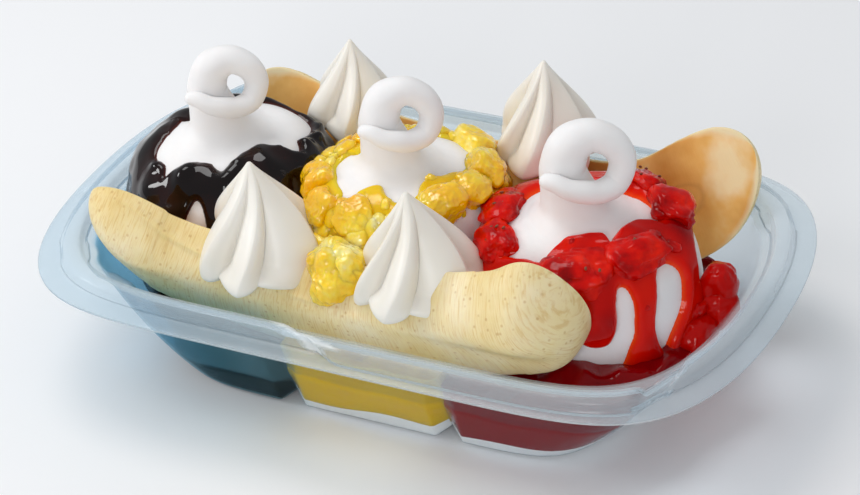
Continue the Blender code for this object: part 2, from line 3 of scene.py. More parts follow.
import bpy
import numpy as np
from mathutils import Matrix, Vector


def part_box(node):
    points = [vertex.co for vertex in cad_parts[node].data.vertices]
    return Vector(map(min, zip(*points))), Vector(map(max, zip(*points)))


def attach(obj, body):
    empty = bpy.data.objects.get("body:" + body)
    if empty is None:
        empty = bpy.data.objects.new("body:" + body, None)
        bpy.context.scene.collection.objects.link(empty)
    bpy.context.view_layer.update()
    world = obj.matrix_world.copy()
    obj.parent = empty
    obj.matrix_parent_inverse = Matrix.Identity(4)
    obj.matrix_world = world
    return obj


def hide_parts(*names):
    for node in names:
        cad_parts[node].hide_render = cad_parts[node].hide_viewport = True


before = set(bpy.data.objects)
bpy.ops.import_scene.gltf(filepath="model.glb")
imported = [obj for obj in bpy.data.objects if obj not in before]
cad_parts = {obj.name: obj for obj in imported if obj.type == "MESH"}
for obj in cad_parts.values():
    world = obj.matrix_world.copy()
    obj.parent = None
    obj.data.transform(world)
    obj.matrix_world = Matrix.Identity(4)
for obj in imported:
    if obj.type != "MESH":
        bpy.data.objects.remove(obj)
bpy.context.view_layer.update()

# A banana split in its dish. Lengths are in millimetres until makePiece turns them to metres.
# X runs along the dish, Y across it to the back, Z up, from the middle of the dish's underside.


# ---- shared maths

def smoothStep(low, high, value):
    # cubic ease from 0 at low to 1 at high
    share = np.clip((value - low) / (high - low), 0.0, 1.0)
    return share * share * (3.0 - 2.0 * share)


def softBox(low, high, edge, value):
    # 1 between low and high, easing to 0 over the edge width outside them
    return smoothStep(low - edge, low, value) * (1.0 - smoothStep(high, high + edge, value))


def catmull(rows, steps):
    # Catmull-Rom curve through rows of numbers, with the same count of steps between rows
    rows = np.asarray(rows, float)
    padded = np.vstack([2 * rows[0] - rows[1], rows, 2 * rows[-1] - rows[-2]])
    t = (np.arange(steps) / steps)[None, :, None]
    p0, p1, p2, p3 = (padded[i:len(rows) - 1 + i, None, :] for i in range(4))
    curve = 0.5 * (2 * p1 + (p2 - p0) * t + (2 * p0 - 5 * p1 + 4 * p2 - p3) * t ** 2
                   + (3 * p1 - p0 - 3 * p2 + p3) * t ** 3)
    return np.vstack([curve.reshape(-1, rows.shape[1]), rows[-1:]])


def cornerCut(rows, times, share=0.25):
    # Chaikin's rounding: each corner is replaced by two points a share along its edges
    rows = np.asarray(rows, float)
    for _ in range(times):
        near = rows[:-1] * (1 - share) + rows[1:] * share
        far = rows[:-1] * share + rows[1:] * (1 - share)
        middle = np.stack([near, far], axis=1).reshape(-1, rows.shape[1])
        rows = np.vstack([rows[:1], middle, rows[-1:]])
    return rows


def latticeNoise(points, size, seed):
    # value noise in -1..1: a seeded lattice of random numbers, eased between its eight nearest corners
    table = np.random.default_rng(seed).uniform(-1.0, 1.0, (32, 32, 32))
    place = np.asarray(points) / size + 100.0
    cell = np.floor(place).astype(int)
    part = place - cell
    part = part * part * (3.0 - 2.0 * part)
    total = 0.0
    for dx in (0, 1):
        for dy in (0, 1):
            for dz in (0, 1):
                weight = (np.where(dx, part[..., 0], 1 - part[..., 0])
                          * np.where(dy, part[..., 1], 1 - part[..., 1])
                          * np.where(dz, part[..., 2], 1 - part[..., 2]))
                corner = (cell + (dx, dy, dz)) % 32
                total = total + weight * table[corner[..., 0], corner[..., 1], corner[..., 2]]
    return total


def lumpNoise(points, size, seed, layers=3):
    # a few octaves of lattice noise, each half as large and half as strong as the last
    return sum(latticeNoise(points, size / 2 ** k, seed + k) / 2 ** k for k in range(layers))


def gridQuads(rows, columns):
    # quads of a grid of points numbered row by row, each row closed round
    row = np.arange(rows - 1)[:, None]
    column = np.arange(columns)[None, :]
    after = (column + 1) % columns
    corners = (row * columns + column, row * columns + after,
               (row + 1) * columns + after, (row + 1) * columns + column)
    return np.stack(np.broadcast_arrays(*corners), axis=-1).reshape(-1, 4)


def poleFan(first, columns, pole, flip=False):
    # triangles from one closed row of points to a pole
    around = first + np.arange(columns)
    after = first + (np.arange(columns) + 1) % columns
    fan = np.stack([around, after, np.full(columns, pole)], axis=-1)
    return fan[:, ::-1] if flip else fan


def closedSkin(grid):
    # points and faces of a closed skin over rows of rings, with a pole at the middle of each end ring
    rows, columns = grid.shape[:2]
    poles = np.stack([grid[0].mean(axis=0), grid[-1].mean(axis=0)])
    points = np.vstack([grid.reshape(-1, 3), poles])
    count = rows * columns
    return (points, gridQuads(rows, columns),
            np.vstack([poleFan(0, columns, count, True), poleFan(count - columns, columns, count + 1)]))


def shellSkin(outer, inner):
    # closed shell between two grids of rings with the same columns, joined at both ends
    grid = np.concatenate([outer, inner[::-1], outer[:1]])
    rows, columns = grid.shape[:2]
    quads = gridQuads(rows, columns)
    return grid[:-1].reshape(-1, 3), quads % ((rows - 1) * columns), np.zeros((0, 3), int)


def gridNormals(grid):
    # unit normals of a grid of rings: differences round the ring crossed with differences from ring to ring
    along = np.roll(grid, -1, axis=1) - np.roll(grid, 1, axis=1)
    normal = np.cross(along, np.gradient(grid, axis=0))
    return normal / np.maximum(np.linalg.norm(normal, axis=-1, keepdims=True), 1e-9)


def turnedOut(points, quads, tris):
    # reverses every face when the skin encloses a negative volume
    split = np.vstack([quads[:, [0, 1, 2]], quads[:, [0, 2, 3]], tris])
    a, b, c = (points[split[:, k]] for k in range(3))
    if np.einsum("ij,ij->i", a, np.cross(b, c)).sum() < 0:
        return quads[:, ::-1], tris[:, ::-1]
    return quads, tris


def makePiece(name, skins, material, node=None, marks=None):
    # one smooth mesh from skins of (points, quads, tris), with a float attribute for each of the marks
    allPoints, loops, sizes, base = [], [], [], 0
    for points, quads, tris in skins:
        quads, tris = turnedOut(points, quads, tris)
        allPoints.append(points)
        loops += [(quads + base).ravel(), (tris + base).ravel()]
        sizes += [np.full(len(quads), 4), np.full(len(tris), 3)]
        base += len(points)
    points, loops, sizes = np.vstack(allPoints), np.concatenate(loops), np.concatenate(sizes)
    mesh = bpy.data.meshes.new(name)
    mesh.vertices.add(len(points))
    mesh.vertices.foreach_set("co", (points * 0.001).astype(np.float32).ravel())
    mesh.loops.add(len(loops))
    mesh.loops.foreach_set("vertex_index", loops.astype(np.int32))
    mesh.polygons.add(len(sizes))
    mesh.polygons.foreach_set("loop_start", (np.cumsum(sizes) - sizes).astype(np.int32))
    mesh.update(calc_edges=True)
    mesh.validate()
    mesh.shade_smooth()
    for mark, values in (marks or {}).items():
        layer = mesh.attributes.new(mark, "FLOAT", "POINT")
        layer.data.foreach_set("value", np.asarray(values, np.float32).ravel())
    mesh.materials.append(material)
    piece = bpy.data.objects.new(name, mesh)
    bpy.context.scene.collection.objects.link(piece)
    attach(piece, "root")
    if node:
        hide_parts(node)
    return piece


# ---- shared material helpers

def hexColour(text):
    # sRGB hex to the linear colour that shaders read
    values = [int(text[i:i + 2], 16) / 255 for i in (1, 3, 5)]
    linear = [v / 12.92 if v <= 0.04045 else ((v + 0.055) / 1.055) ** 2.4 for v in values]
    return (*linear, 1.0)


def addNode(tree, kind, settings=None, values=None, links=None):
    # adds a node, sets its own settings and its sockets' values, and links outputs into it
    node = tree.nodes.new(kind)
    for name, value in (settings or {}).items():
        setattr(node, name, value)
    for name, value in (values or {}).items():
        node.inputs[name].default_value = value
    for name, output in (links or {}).items():
        tree.links.new(output, node.inputs[name])
    return node


def perMetre(millimetres):
    # a pattern's scale, from the real size of one of its cells
    return 1000.0 / millimetres


def newMaterial(name, values):
    # a Principled material with its plain values set, and the Object coordinates that its patterns read
    material = bpy.data.materials.new(name)
    material.use_nodes = True
    tree = material.node_tree
    shader = tree.nodes["Principled BSDF"]
    for socket, value in values.items():
        shader.inputs[socket].default_value = value
    place = addNode(tree, "ShaderNodeTexCoord").outputs["Object"]
    return material, tree, shader, place


def addRamp(tree, stops, factor):
    # a colour ramp read by one output, its stops given as (position, hex colour)
    node = addNode(tree, "ShaderNodeValToRGB", links={"Fac": factor})
    ramp = node.color_ramp
    while len(ramp.elements) > 1:
        ramp.elements.remove(ramp.elements[-1])
    ramp.elements[0].position, ramp.elements[0].color = stops[0][0], hexColour(stops[0][1])
    for position, colour in stops[1:]:
        ramp.elements.new(position).color = hexColour(colour)
    return node.outputs["Color"]


def cloudColour(tree, shader, place, cloud, stops):
    # base colour in soft clouds: noise through a ramp; returns the noise
    tone = addNode(tree, "ShaderNodeTexNoise", values=cloud, links={"Vector": place})
    tree.links.new(addRamp(tree, stops, tone.outputs["Fac"]), shader.inputs["Base Color"])
    return tone.outputs["Fac"]


def noiseRelief(tree, shader, place, grain, distance, strength):
    # a fine relief from noise, its height in metres
    marks = addNode(tree, "ShaderNodeTexNoise", values=grain, links={"Vector": place})
    addBump(tree, shader, marks.outputs["Fac"], distance, strength)


def addBump(tree, shader, height, distance, strength):
    bump = addNode(tree, "ShaderNodeBump", values={"Distance": distance, "Strength": strength},
                   links={"Height": height})
    tree.links.new(bump.outputs["Normal"], shader.inputs["Normal"])


# ---- dish

dish = {
    "rimX": 108.0, "rimY": 67.0, "rimPowers": (7.04, 2.228),
    "floorX": 59.5, "floorY": 38.8, "floorPowers": (8.0, 5.0), "floorRound": 1.6,
    "wallTop": 36.6, "wallInset": 14.0, "endPower": 0.71, "wall": 0.6,
    "ribX": 24.2, "ribHalf": 4.2, "ribDeep": 3.2, "ribFade": 12.0,
    "flange": ((14.0, 36.6), (12.6, 37.0), (10.6, 37.4), (9.6, 38.2), (9.1, 40.3), (8.1, 40.8),
               (5.9, 40.7), (5.0, 40.1), (4.4, 37.9), (3.5, 37.1), (1.0, 36.6), (0.0, 36.2)),
    # where the bead steps outwards along each side, and by how much
    "joggle": (-10.5, -4.5, 1.4), "joggleEnd": (84.0, 92.0),
    # notch cut in the bead at one corner, and stacking lugs pressed into the wall: x, y, half-width and depth
    "notch": (89.0, 4.2, 2.0), "lugs": ((-72.0, -49.0, 6.0, 2.0), (90.0, 42.0, 7.0, 2.0)),
    "sidePoints": 90, "endPoints": 46,
}


def quarterRing(powers):
    # unit superellipse x^nx + y^ny = 1 in one quarter: even steps in x along the side, then in y round the end
    nx, ny = powers
    sideX = np.linspace(0.0, 0.82, dish["sidePoints"])
    sideY = (1 - sideX ** nx) ** (1 / ny)
    endY = np.linspace(sideY[-1], 0.0, dish["endPoints"] + 1)[1:]
    endX = (1 - endY ** ny) ** (1 / nx)
    return np.concatenate([sideX, endX]), np.concatenate([sideY, endY])


def fullRing(halfX, halfY, powers):
    # the whole ring from the front's middle, to the right end, the back and the left end
    x, y = quarterRing(powers)
    xs = np.concatenate([x, x[-2::-1], -x[1:], -x[-2:0:-1]]) * halfX
    ys = np.concatenate([-y, y[-2::-1], y[1:], -y[-2:0:-1]]) * halfY
    return xs, ys


def ribShare(x):
    return np.clip(1 - np.abs(np.abs(x) - dish["ribX"]) / dish["ribHalf"], 0, 1)


def wallShape(z):
    # the wall's half-lengths, superellipse powers and rib depth at a height, for one number or many
    share = np.clip(z, 0.0, None) / dish["wallTop"]
    halfX = dish["floorX"] + (dish["rimX"] - dish["wallInset"] - dish["floorX"]) * share ** dish["endPower"]
    corner = np.where(z < 1.6, smoothStep(-1.0, 1.6, z) * 2 - 1, 1.0)
    halfY = dish["floorY"] + dish["floorRound"] * corner
    halfY = halfY + (dish["rimY"] - dish["wallInset"] - dish["floorY"] - dish["floorRound"]) * share
    powerX, powerY = (low + (high - low) * share for low, high in zip(dish["floorPowers"], dish["rimPowers"]))
    return halfX, halfY, powerX, powerY, dish["ribDeep"] * (1 - np.minimum(share, 1.0) ** 2)


def wallRing(z, inset=0.0):
    # the wall's outline at a height: floor outline opening to the flange, with a V rib pressed in at each well's edge
    halfX, halfY, powerX, powerY, deep = (float(value) for value in wallShape(z))
    x, y = fullRing(halfX - inset, halfY - inset, (powerX, powerY))
    rib = ribShare(x)
    y = y - np.sign(y) * deep * rib * np.minimum(1.0, np.abs(y) / 20.0)
    return np.column_stack([x, y, z + dish["ribDeep"] * max(0.0, 1 - z / dish["ribFade"]) * rib])


def insideWall(grid, inset):
    # brings points in along X to the wall's outline at their height, less an inset, where they lie under the flange
    halfX, halfY, powerX, powerY, _ = wallShape(np.minimum(grid[..., 2], dish["wallTop"]))
    share = np.clip(np.abs(grid[..., 1]) / (halfY - inset), 0.0, 0.999)
    limit = (halfX - inset) * (1 - share ** powerY) ** (1 / powerX)
    limit = np.where(grid[..., 2] < dish["wallTop"], limit, 1e3)
    grid[..., 0] = np.clip(grid[..., 0], -limit, limit)
    return grid


def flangeRing(inset, z):
    # the flange's outline; its bead steps outwards along half of each long side, the same when turned half round
    x, y = fullRing(dish["rimX"] - inset, dish["rimY"] - inset, dish["rimPowers"])
    start, end, step = dish["joggle"]
    turned = np.where(y < 0, x, -x)
    onBead = float(softBox(4.2, 10.0, 1.4, inset))
    lean = (inset - 7.0) * 3.0
    shift = smoothStep(start - lean, end - lean, turned) * (1 - smoothStep(*dish["joggleEnd"], turned))
    shift = (shift * 2 - 1) * step * onBead
    place, half, deep = dish["notch"]
    dip = deep * softBox(place - half, place + half, 0.8, x) * (y < 0) * (z > 38.5) * onBead
    scaleX = 1 + shift / dish["rimX"]
    scaleY = 1 + shift / dish["rimY"]
    return np.column_stack([x * scaleX, y * scaleY, z - dip])


def lugPress(grid):
    # presses flat-faced lugs into the upper wall, deepest just under the flange
    for x, y, half, deep in dish["lugs"]:
        for turn in (1, -1):
            away = np.hypot(grid[..., 0] - x * turn, grid[..., 1] - y * turn)
            press = deep * smoothStep(half, half * 0.55, away) * softBox(30.0, 36.0, 3.0, grid[..., 2])
            towards = np.array([-np.sign(x) * turn, -np.sign(y) * turn * 0.7, 0.0])
            grid = grid + towards * press[..., None] * 0.8
    return grid


def dishSheet():
    # the lower face as rings: the floor shrunk towards its middle, the wall, then the flange's profile
    floor = wallRing(0.0)
    rings = []
    for share in (0.04, 0.2, 0.4, 0.6, 0.76, 0.88, 0.95, 0.98):
        ring = floor * (share, share, 0)
        ring[:, 2] = dish["ribDeep"] * ribShare(ring[:, 0])
        rings.append(ring)
    heights = np.concatenate([[0.0, 0.12, 0.35, 0.7, 1.2, 1.8, 2.6], np.linspace(3.8, dish["wallTop"], 30)])
    rings += [wallRing(z) for z in heights]
    profile = cornerCut(dish["flange"], 2, 0.17)[1:]
    rings += [flangeRing(inset, z) for inset, z in profile]
    return lugPress(np.array(rings)), 8 + len(heights)


def makeDish(material):
    # two faces one wall apart; the mark milkyAndHighlight goes from 0 on the drawn wall to 1 on the thick, cooled
    # flange, and higher on the slanted faces where the bead steps out, a painted highlight; wetted is 1 where the
    # chocolate lies against the wall
    under, wallRows = dishSheet()
    normal = gridNormals(under)
    if normal[2, 0, 2] < 0:
        normal = -normal
    over = under + normal * dish["wall"]
    over[-1] = under[-1] + (0, 0, dish["wall"])
    over[-1, :, 2] = np.minimum(over[-1, :, 2], under[-2, :, 2] + dish["wall"])
    grid = np.concatenate([under, over[::-1]])
    row = np.arange(len(under))
    milkyAndHighlight = np.repeat(smoothStep(wallRows - 3.0, wallRows + 4.0, row)[:, None], under.shape[1], axis=1)
    milkyAndHighlight = np.concatenate([milkyAndHighlight, milkyAndHighlight[::-1]])
    start, end, _ = dish["joggle"]
    deep = dish["rimY"] - np.abs(grid[..., 1])
    turned = np.where(grid[..., 1] < 0, grid[..., 0], -grid[..., 0]) + (deep - 7.0) * 3.0
    # painted highlight: the slanted faces where the bead steps out are made whiter and less clear than the rest of the
    # flange
    paintedFoldHighlight = softBox(start, end, 1.0, turned) * softBox(4.6, 9.4, 0.8, deep) * (np.abs(grid[..., 0]) < 30.0)
    milkyAndHighlight = (milkyAndHighlight + 1.6 * paintedFoldHighlight * (grid[..., 2] > 38.0)).ravel()
    level = sauces["chocolate"]["contact"] + 0.2 + poolWaves(grid[..., 0], grid[..., 1], 16.0, "chocolate", 0) * 2.4
    wetted = smoothStep(level + 0.5, level - 0.5, grid[..., 2]) * (grid[..., 0] < sauces["chocolate"]["well"][1])
    return makePiece("boatDish", [closedSkin(grid)], material, "dish",
                     {"milkyAndHighlight": np.concatenate([milkyAndHighlight, [0, 0]]), "wetted": np.concatenate([wetted.ravel(), [0, 0]])})


# ---- soft serve

mounds = {
    "left": {"x": -60.0, "neck": 66.5, "curl": 1.0, "drop": 1.0, "limits": (-300.0, -33.0)},
    "middle": {"x": -5.5, "neck": 66.5, "curl": 1.02, "drop": 1.0, "limits": (-32.6, 22.1)},
    "right": {"x": 50.0, "neck": 61.7, "curl": 1.13, "drop": 0.82, "limits": (22.5, 300.0)},
}
softServe = {
    "profile": ((20.0, 1.4), (24.2, 5.0), (27.4, 9.5), (29.8, 15.0), (31.0, 22.0), (31.5, 30.0), (31.2, 38.0),
                (29.5, 46.0), (26.3, 52.4), (21.6, 57.4), (17.6, 59.8)),
    "neck": ((-0.8, 0, -5.5, 12.6), (-2.4, 0, -2.5, 8.9)),
    "curl": ((-3.8, 0, 1.5, 7.2), (-4.9, 0, 5.5, 6.1), (-5.2, 0, 9.3, 5.6), (-3.1, 0, 14.9, 5.2), (2.0, 0, 17.1, 4.15),
             (6.9, 0.6, 14.9, 3.7), (9.0, 1.6, 10.4, 3.4), (7.2, 3.4, 5.7, 3.2), (3.2, 5.8, 4.8, 3.0),
             (-0.6, 7.4, 5.9, 2.9), (-4.2, 7.8, 7.1, 2.6), (-7.7, 7.0, 8.8, 2.2), (-11.2, 5.4, 8.9, 1.8)),
    "facing": math.radians(27.0), "sides": 128, "steps": 9,
    "footLevel": 3.5,  # top of the melt in the middle and right wells
}


def profileRows(side):
    # the mound's profile, its shoulder squeezed down to where the curl's neck begins
    neck, drop, scale = (mounds[side][key] for key in ("neck", "drop", "curl"))
    squeeze = (neck - 5.5 * drop * scale - 46.0) / 15.0
    rows = np.array(softServe["profile"] + ((12.6 * scale, 61.0), (8.9 * scale, 64.0)))
    rows[:, 1] = np.where(rows[:, 1] > 46.0, 46.0 + (rows[:, 1] - 46.0) * squeeze, rows[:, 1])
    return rows


def profileAt(side, z):
    # the mound's radius at a height, from the smoothed profile
    rows = catmull(profileRows(side), 8)
    return np.interp(z, rows[:, 1], rows[:, 0])


def curlRows(side):
    # the curl's middle line and radius in the dish's frame, its rows giving right, front, up and radius
    mound = mounds[side]
    rows = np.array(softServe["neck"] + softServe["curl"], float)
    rows[:len(softServe["neck"]), 2] *= mound["drop"]
    turn = softServe["facing"]
    right = np.array([math.cos(turn), math.sin(turn), 0.0])
    front = np.array([math.sin(turn), -math.cos(turn), 0.0])
    place = np.array([mound["x"], 0.0, mound["neck"]])
    place = place + mound["curl"] * (rows[:, :1] * right + rows[:, 1:2] * front + rows[:, 2:3] * (0, 0, 1))
    return np.column_stack([place, rows[:, 3] * mound["curl"]])


def sweptTube(path, radii, sides, level, start=(0.0, 1.0, 0.0)):
    # rings round a path, level where level is 1 and square to it where 0, each turned as little as possible
    # from the one before
    ahead = np.gradient(path, axis=0)
    ahead /= np.linalg.norm(ahead, axis=1)[:, None]
    ahead = ahead * (1 - level[:, None]) + level[:, None] * (0, 0, 1)
    ahead /= np.linalg.norm(ahead, axis=1)[:, None]
    turns = np.arange(sides) * 2 * math.pi / sides
    across = np.array(start, float)
    rings = []
    for point, along, radius in zip(path, ahead, radii):
        across = across - along * across.dot(along)
        across /= np.linalg.norm(across)
        other = np.cross(along, across)
        rings.append(point + radius * (np.outer(np.cos(turns), across) + np.outer(np.sin(turns), other)))
    return np.array(rings)


def outwardNormals(grid, middle):
    # normals of a grid of rings, turned to point away from a middle point
    normal = gridNormals(grid)
    row = len(grid) // 4
    return -normal if (normal[row, 0] * (grid[row, 0] - middle)).sum() < 0 else normal


def moundSweep(side, sides):
    # one sweep: the mound's profile straight up, then the curl as it leans, loops over and crosses its neck
    mound = mounds[side]
    rows = [(mound["x"], 0.0, z, radius) for radius, z in profileRows(side)[:-2]]
    rows = catmull(np.vstack([np.array(rows), curlRows(side)]), softServe["steps"])
    path, radii = rows[:, :3], rows[:, 3].copy()
    left = np.linalg.norm(path[-1] - path, axis=1)
    tip = radii[-1]
    nearTip = (left < tip * 1.2) & (np.arange(len(left)) > len(left) - 12)
    radii[nearTip] *= np.sqrt(np.clip(1 - (1 - left[nearTip] / (tip * 1.2)) ** 2, 0.0004, 1))
    leaning = np.maximum.accumulate(smoothStep(mound["neck"] - 2.0, mound["neck"] + 8.0, path[:, 2]))
    grid = sweptTube(path, radii, sides, 1 - leaning)
    high = smoothStep(50.0, 66.0, grid[..., 2])
    wave = lumpNoise(grid, 17.0, 5, 2) * 0.35 * (1 - high) + lumpNoise(grid, 9.0, 9, 2) * 0.10
    return grid + outwardNormals(grid, (mound["x"], 0.0, 30.0)) * wave[..., None]


def moundAndCurl(side):
    grid = insideWall(moundSweep(side, softServe["sides"]), 0.75)
    grid[..., 0] = np.clip(grid[..., 0], *mounds[side]["limits"])
    grid[..., 2] = np.maximum(grid[..., 2], 0.9)
    return closedSkin(grid)


def wellRing(lowX, highX, z, inset, along=130, across=16):
    # a well's outline at a height: the dish's wall between two planes, closed by straight lines along them
    ring = wallRing(z, inset)
    front = ring[ring[:, 1] < 0]
    back = ring[ring[:, 1] >= 0]
    front = front[np.argsort(front[:, 0])]
    back = back[np.argsort(back[:, 0])]
    low = max(lowX, ring[:, 0].min())
    high = min(highX, ring[:, 0].max())
    xs = low + (high - low) * (1 - np.cos(np.linspace(0, math.pi, along))) / 2
    lower, upper = (np.column_stack([xs, np.interp(xs, half[:, 0], half[:, 1]), np.interp(xs, half[:, 0], half[:, 2])])
                    for half in (front, back))
    upper = upper[::-1]
    sides = []
    for a, b in ((lower[-1], upper[0]), (upper[-1], lower[0])):
        share = np.linspace(0, 1, across + 2)[1:-1, None]
        sides.append(a + (b - a) * share)
    return np.vstack([lower, sides[0], upper, sides[1]])


def unevenRing(lowX, highX, z, inset):
    # a well's outline whose height differs from column to column
    spots = np.linspace(z.min() - 0.01, z.max() + 0.01, 8)
    tables = np.array([wellRing(lowX, highX, spot, inset) for spot in spots])
    place = (z - spots[0]) / (spots[1] - spots[0])
    k = np.clip(place.astype(int), 0, 6)
    part = (place - k)[:, None]
    columns = np.arange(len(z))
    return tables[k, columns] * (1 - part) + tables[k + 1, columns] * part


def wellFill(lowX, highX, bottom, contact, rim, off, swell, inset=0.35):
    # what lies in a well: up the wall to the contact level, away from it by off up to the rim, then rings shrinking
    # over the top; contact, rim and swell give a level from x and y
    foot = wellRing(lowX, highX, bottom, inset)
    first, last = contact(foot[:, 0], foot[:, 1]), rim(foot[:, 0], foot[:, 1])
    rings = [unevenRing(lowX, highX, bottom + (first - bottom) * share, inset) for share in np.linspace(0.05, 1, 8)]
    for share in (0.04, 0.12, 0.25, 0.4, 0.6, 0.8, 0.92, 1.0):
        away = inset + off * (1 - (1 - share) ** 2.2)
        rings.append(unevenRing(lowX, highX, first + (last - first) * share, away))
    edge = rings[-1]
    middle = edge.mean(axis=0)
    start = []
    for share in (0.3, 0.8, 0.98):
        ring = middle + (foot - middle) * (share, share, 0)
        ring[:, 2] = foot[:, 2]
        start.append(ring)
    top = []
    for share in (0.992, 0.98, 0.965, 0.945, 0.925, 0.9, 0.875, 0.845, 0.81, 0.77, 0.72, 0.65, 0.55, 0.42, 0.25, 0.1):
        ring = middle + (edge - middle) * (share, share, 1)
        blend = float(smoothStep(1.0, 0.93, share))
        ring[:, 2] = edge[:, 2] + (swell(ring[:, 0], ring[:, 1]) - edge[:, 2]) * blend
        top.append(ring)
    return closedSkin(np.array(start + rings + top))


def makeSoftServe(side, material):
    # the mound with its curl, and for two of the wells the melt at the foot of the wall
    skins = [moundAndCurl(side)]
    if side != "left":
        low, high = (-24.2, 24.2) if side == "middle" else (24.2, 300.0)

        def footTop(x, y):
            rise = 2.0 * smoothStep(low, low + 42.0, x) + 2.2 * smoothStep(50.0, 66.0, x)
            return softServe["footLevel"] + rise + 0.5 * np.sin(x * 0.21 + 0.5)

        def footSwell(x, y):
            return footTop(x, y) + 0.3

        skins.append(wellFill(low + 0.3, high - 0.3, 0.35, footTop, footSwell, 0.2, footSwell, 0.2))
    name = "softServe" + side.capitalize()
    return makePiece(name, skins, material, "ice_cream_" + side)


# ---- banana halves

bananas = {
    "banana_front": {"name": "bananaHalfFront", "middle": (-9.0, -29.0, 34.0), "side": -1, "arc": (165.0, 120.0),
                     "ends": (-79.0, 73.7), "caps": ((24.0, 2.0), (17.8, 3.9)), "radius": (14.6, 17.8), "seed": 21,
                     "ridge": (0.15, 1.3, 0.9),
                     "rise": ((-80, 5.5), (-70, 3.8), (-58, 1.2), (-45, 0), (44, 0), (54, -0.4), (64, 0.4), (74, 6.8))},
    "banana_back": {"name": "bananaHalfBack", "middle": (6.0, 32.0, 33.5), "side": 1, "arc": (175.0, 132.0),
                    "ends": (-86.0, 82.0), "caps": ((14.0, 2.5), (20.0, 2.2)), "radius": (15.0, 16.8), "seed": 33,
                    "ridge": (0.5, 0.0, 0.0),
                    "rise": ((-86, -2.0), (-78, -4.8), (-68, -4.0), (-58, -3.2), (-40, -1.5), (0, 0), (20, -2.5),
                             (38, -6.4), (50, -7.2), (60, -5.2), (68, -3.2), (76, 0.6), (82, 3.8))},
}
banana = {"lean": math.radians(25.0), "stations": 260, "around": 180, "ridges": 5, "ridgeDeep": 0.35,
          # how far from the dish's middle line it starts to lie over the flange, and the levels and softness of that
          "over": (38.0, 53.0), "rest": (41.2, 42.0, 3.5)}


def makeBanana(node, material):
    # half a banana along an arc raised by a curve: at each station a half circle with blunt pentagon ridges, closed
    # by a cut face with a rounded rim, and shrunk at each end by the root of 1 - (1 - way / long) ^ blunt; one ridge
    # is drawn up sharper over the first half; fibres run round it as 0.1 mm ripples; marks: cutFace (1 on the cut),
    # across (-1..1), along (mm), turned (the angle round the half circle) and inner (mm from the nearer end)
    spec = bananas[node]
    first, last = spec["ends"]
    spread = np.cos(np.linspace(math.pi, 0, banana["stations"]))
    along = (first + last) / 2 + (last - first) / 2 * (0.55 * spread + 0.45 * spread ** 3)
    along = along[1:-1]
    arc = np.where(along < 0, spec["arc"][0], spec["arc"][1])
    angle = along / arc
    lean = banana["lean"]
    up = np.array([0.0, spec["side"] * math.sin(lean), math.cos(lean)])
    right = np.array([1.0, 0.0, 0.0])
    outwards = np.array([0.0, spec["side"] * math.cos(lean), -math.sin(lean)])
    axis = (np.array(spec["middle"]) + right * (arc * np.sin(angle))[:, None]
            + up * (arc * (1 - np.cos(angle)))[:, None])
    risen = catmull(spec["rise"], 8)
    axis[:, 2] += np.interp(along, risen[:, 0], risen[:, 1])
    radial = up * np.cos(angle)[:, None] - right * np.sin(angle)[:, None]
    share = (along - first) / (last - first)
    body = spec["radius"][0] + (spec["radius"][1] - spec["radius"][0]) * np.sin(share * math.pi / 2)
    near = np.minimum(along - first, last - along)
    cap = 1.0
    for away, (long, blunt) in zip((along - first, last - along), spec["caps"]):
        cap = np.minimum(cap, np.clip(1 - (1 - np.minimum(away, long) / long) ** blunt, 0, 1) ** 0.5)
    turns = np.arange(banana["around"]) * 2 * math.pi / banana["around"]
    sine, cosine = np.sin(turns), np.cos(turns)
    ridge = 1 + banana["ridgeDeep"] / 16 * (np.abs(np.cos(turns * banana["ridges"] / 2 + 0.35)) - 0.6)
    flat = sine < 0
    depth = np.where(flat, 0.055 * np.sign(sine) * np.abs(sine) ** 0.35, sine)
    across = np.where(flat, np.sign(cosine) * np.abs(cosine) ** 0.9, cosine)
    size = (body * cap)[:, None]
    ringAcross = size * across * np.where(flat, 1.0, ridge)
    ringOut = size * depth * np.where(flat, 1.0, ridge)
    grid = axis[:, None] + ringAcross[..., None] * radial[:, None] + ringOut[..., None] * outwards
    normal = gridNormals(grid)
    if (normal[len(along) // 2, banana["around"] // 4] @ outwards) < 0:
        normal = -normal
    seed = spec["seed"]
    dent = lumpNoise(grid * (0.35, 1, 1), 9.0, seed, 2) * 0.28
    fibre = np.stack(np.broadcast_arrays(along[:, None], turns[None, :] * 3.2, 0.0), -1)
    dent = dent + latticeNoise(fibre, 1.5, seed + 5) * 0.07 * (~flat)
    start, climb, tall = spec["ridge"]
    crease = np.exp(-((turns - start - climb * share[:, None]) / 0.065) ** 2)
    dent = dent + tall * crease * (smoothStep(0.0, 0.12, share) * smoothStep(0.62, 0.3, share))[:, None]
    grid = grid + normal * dent[..., None] * cap[:, None, None] ** 2
    over = smoothStep(*banana["over"], np.abs(grid[..., 1]))
    floor, bend, soft = banana["rest"]
    eased = floor + soft * np.logaddexp(0.0, (grid[..., 2] - bend) / soft)
    grid[..., 2] += (eased - grid[..., 2]) * over
    shape = grid.shape[:2]
    cutFace = np.broadcast_to(smoothStep(0.02, -0.25, sine), shape)
    rows = {"cutFace": (cutFace, [cutFace[0].mean(), cutFace[-1].mean()]),
            "across": (np.broadcast_to(across, shape), [0, 0]),
            "along": (np.broadcast_to(along[:, None], shape), list(spec["ends"])),
            "turned": (np.broadcast_to(turns, shape), [0, 0]),
            "inner": (np.broadcast_to(np.minimum(near, 40.0)[:, None], shape), [0, 0])}
    marks = {mark: np.concatenate([values.ravel(), poles]) for mark, (values, poles) in rows.items()}
    return makePiece(spec["name"], [closedSkin(grid)], material, node, marks)


# ---- whipped-cream stars

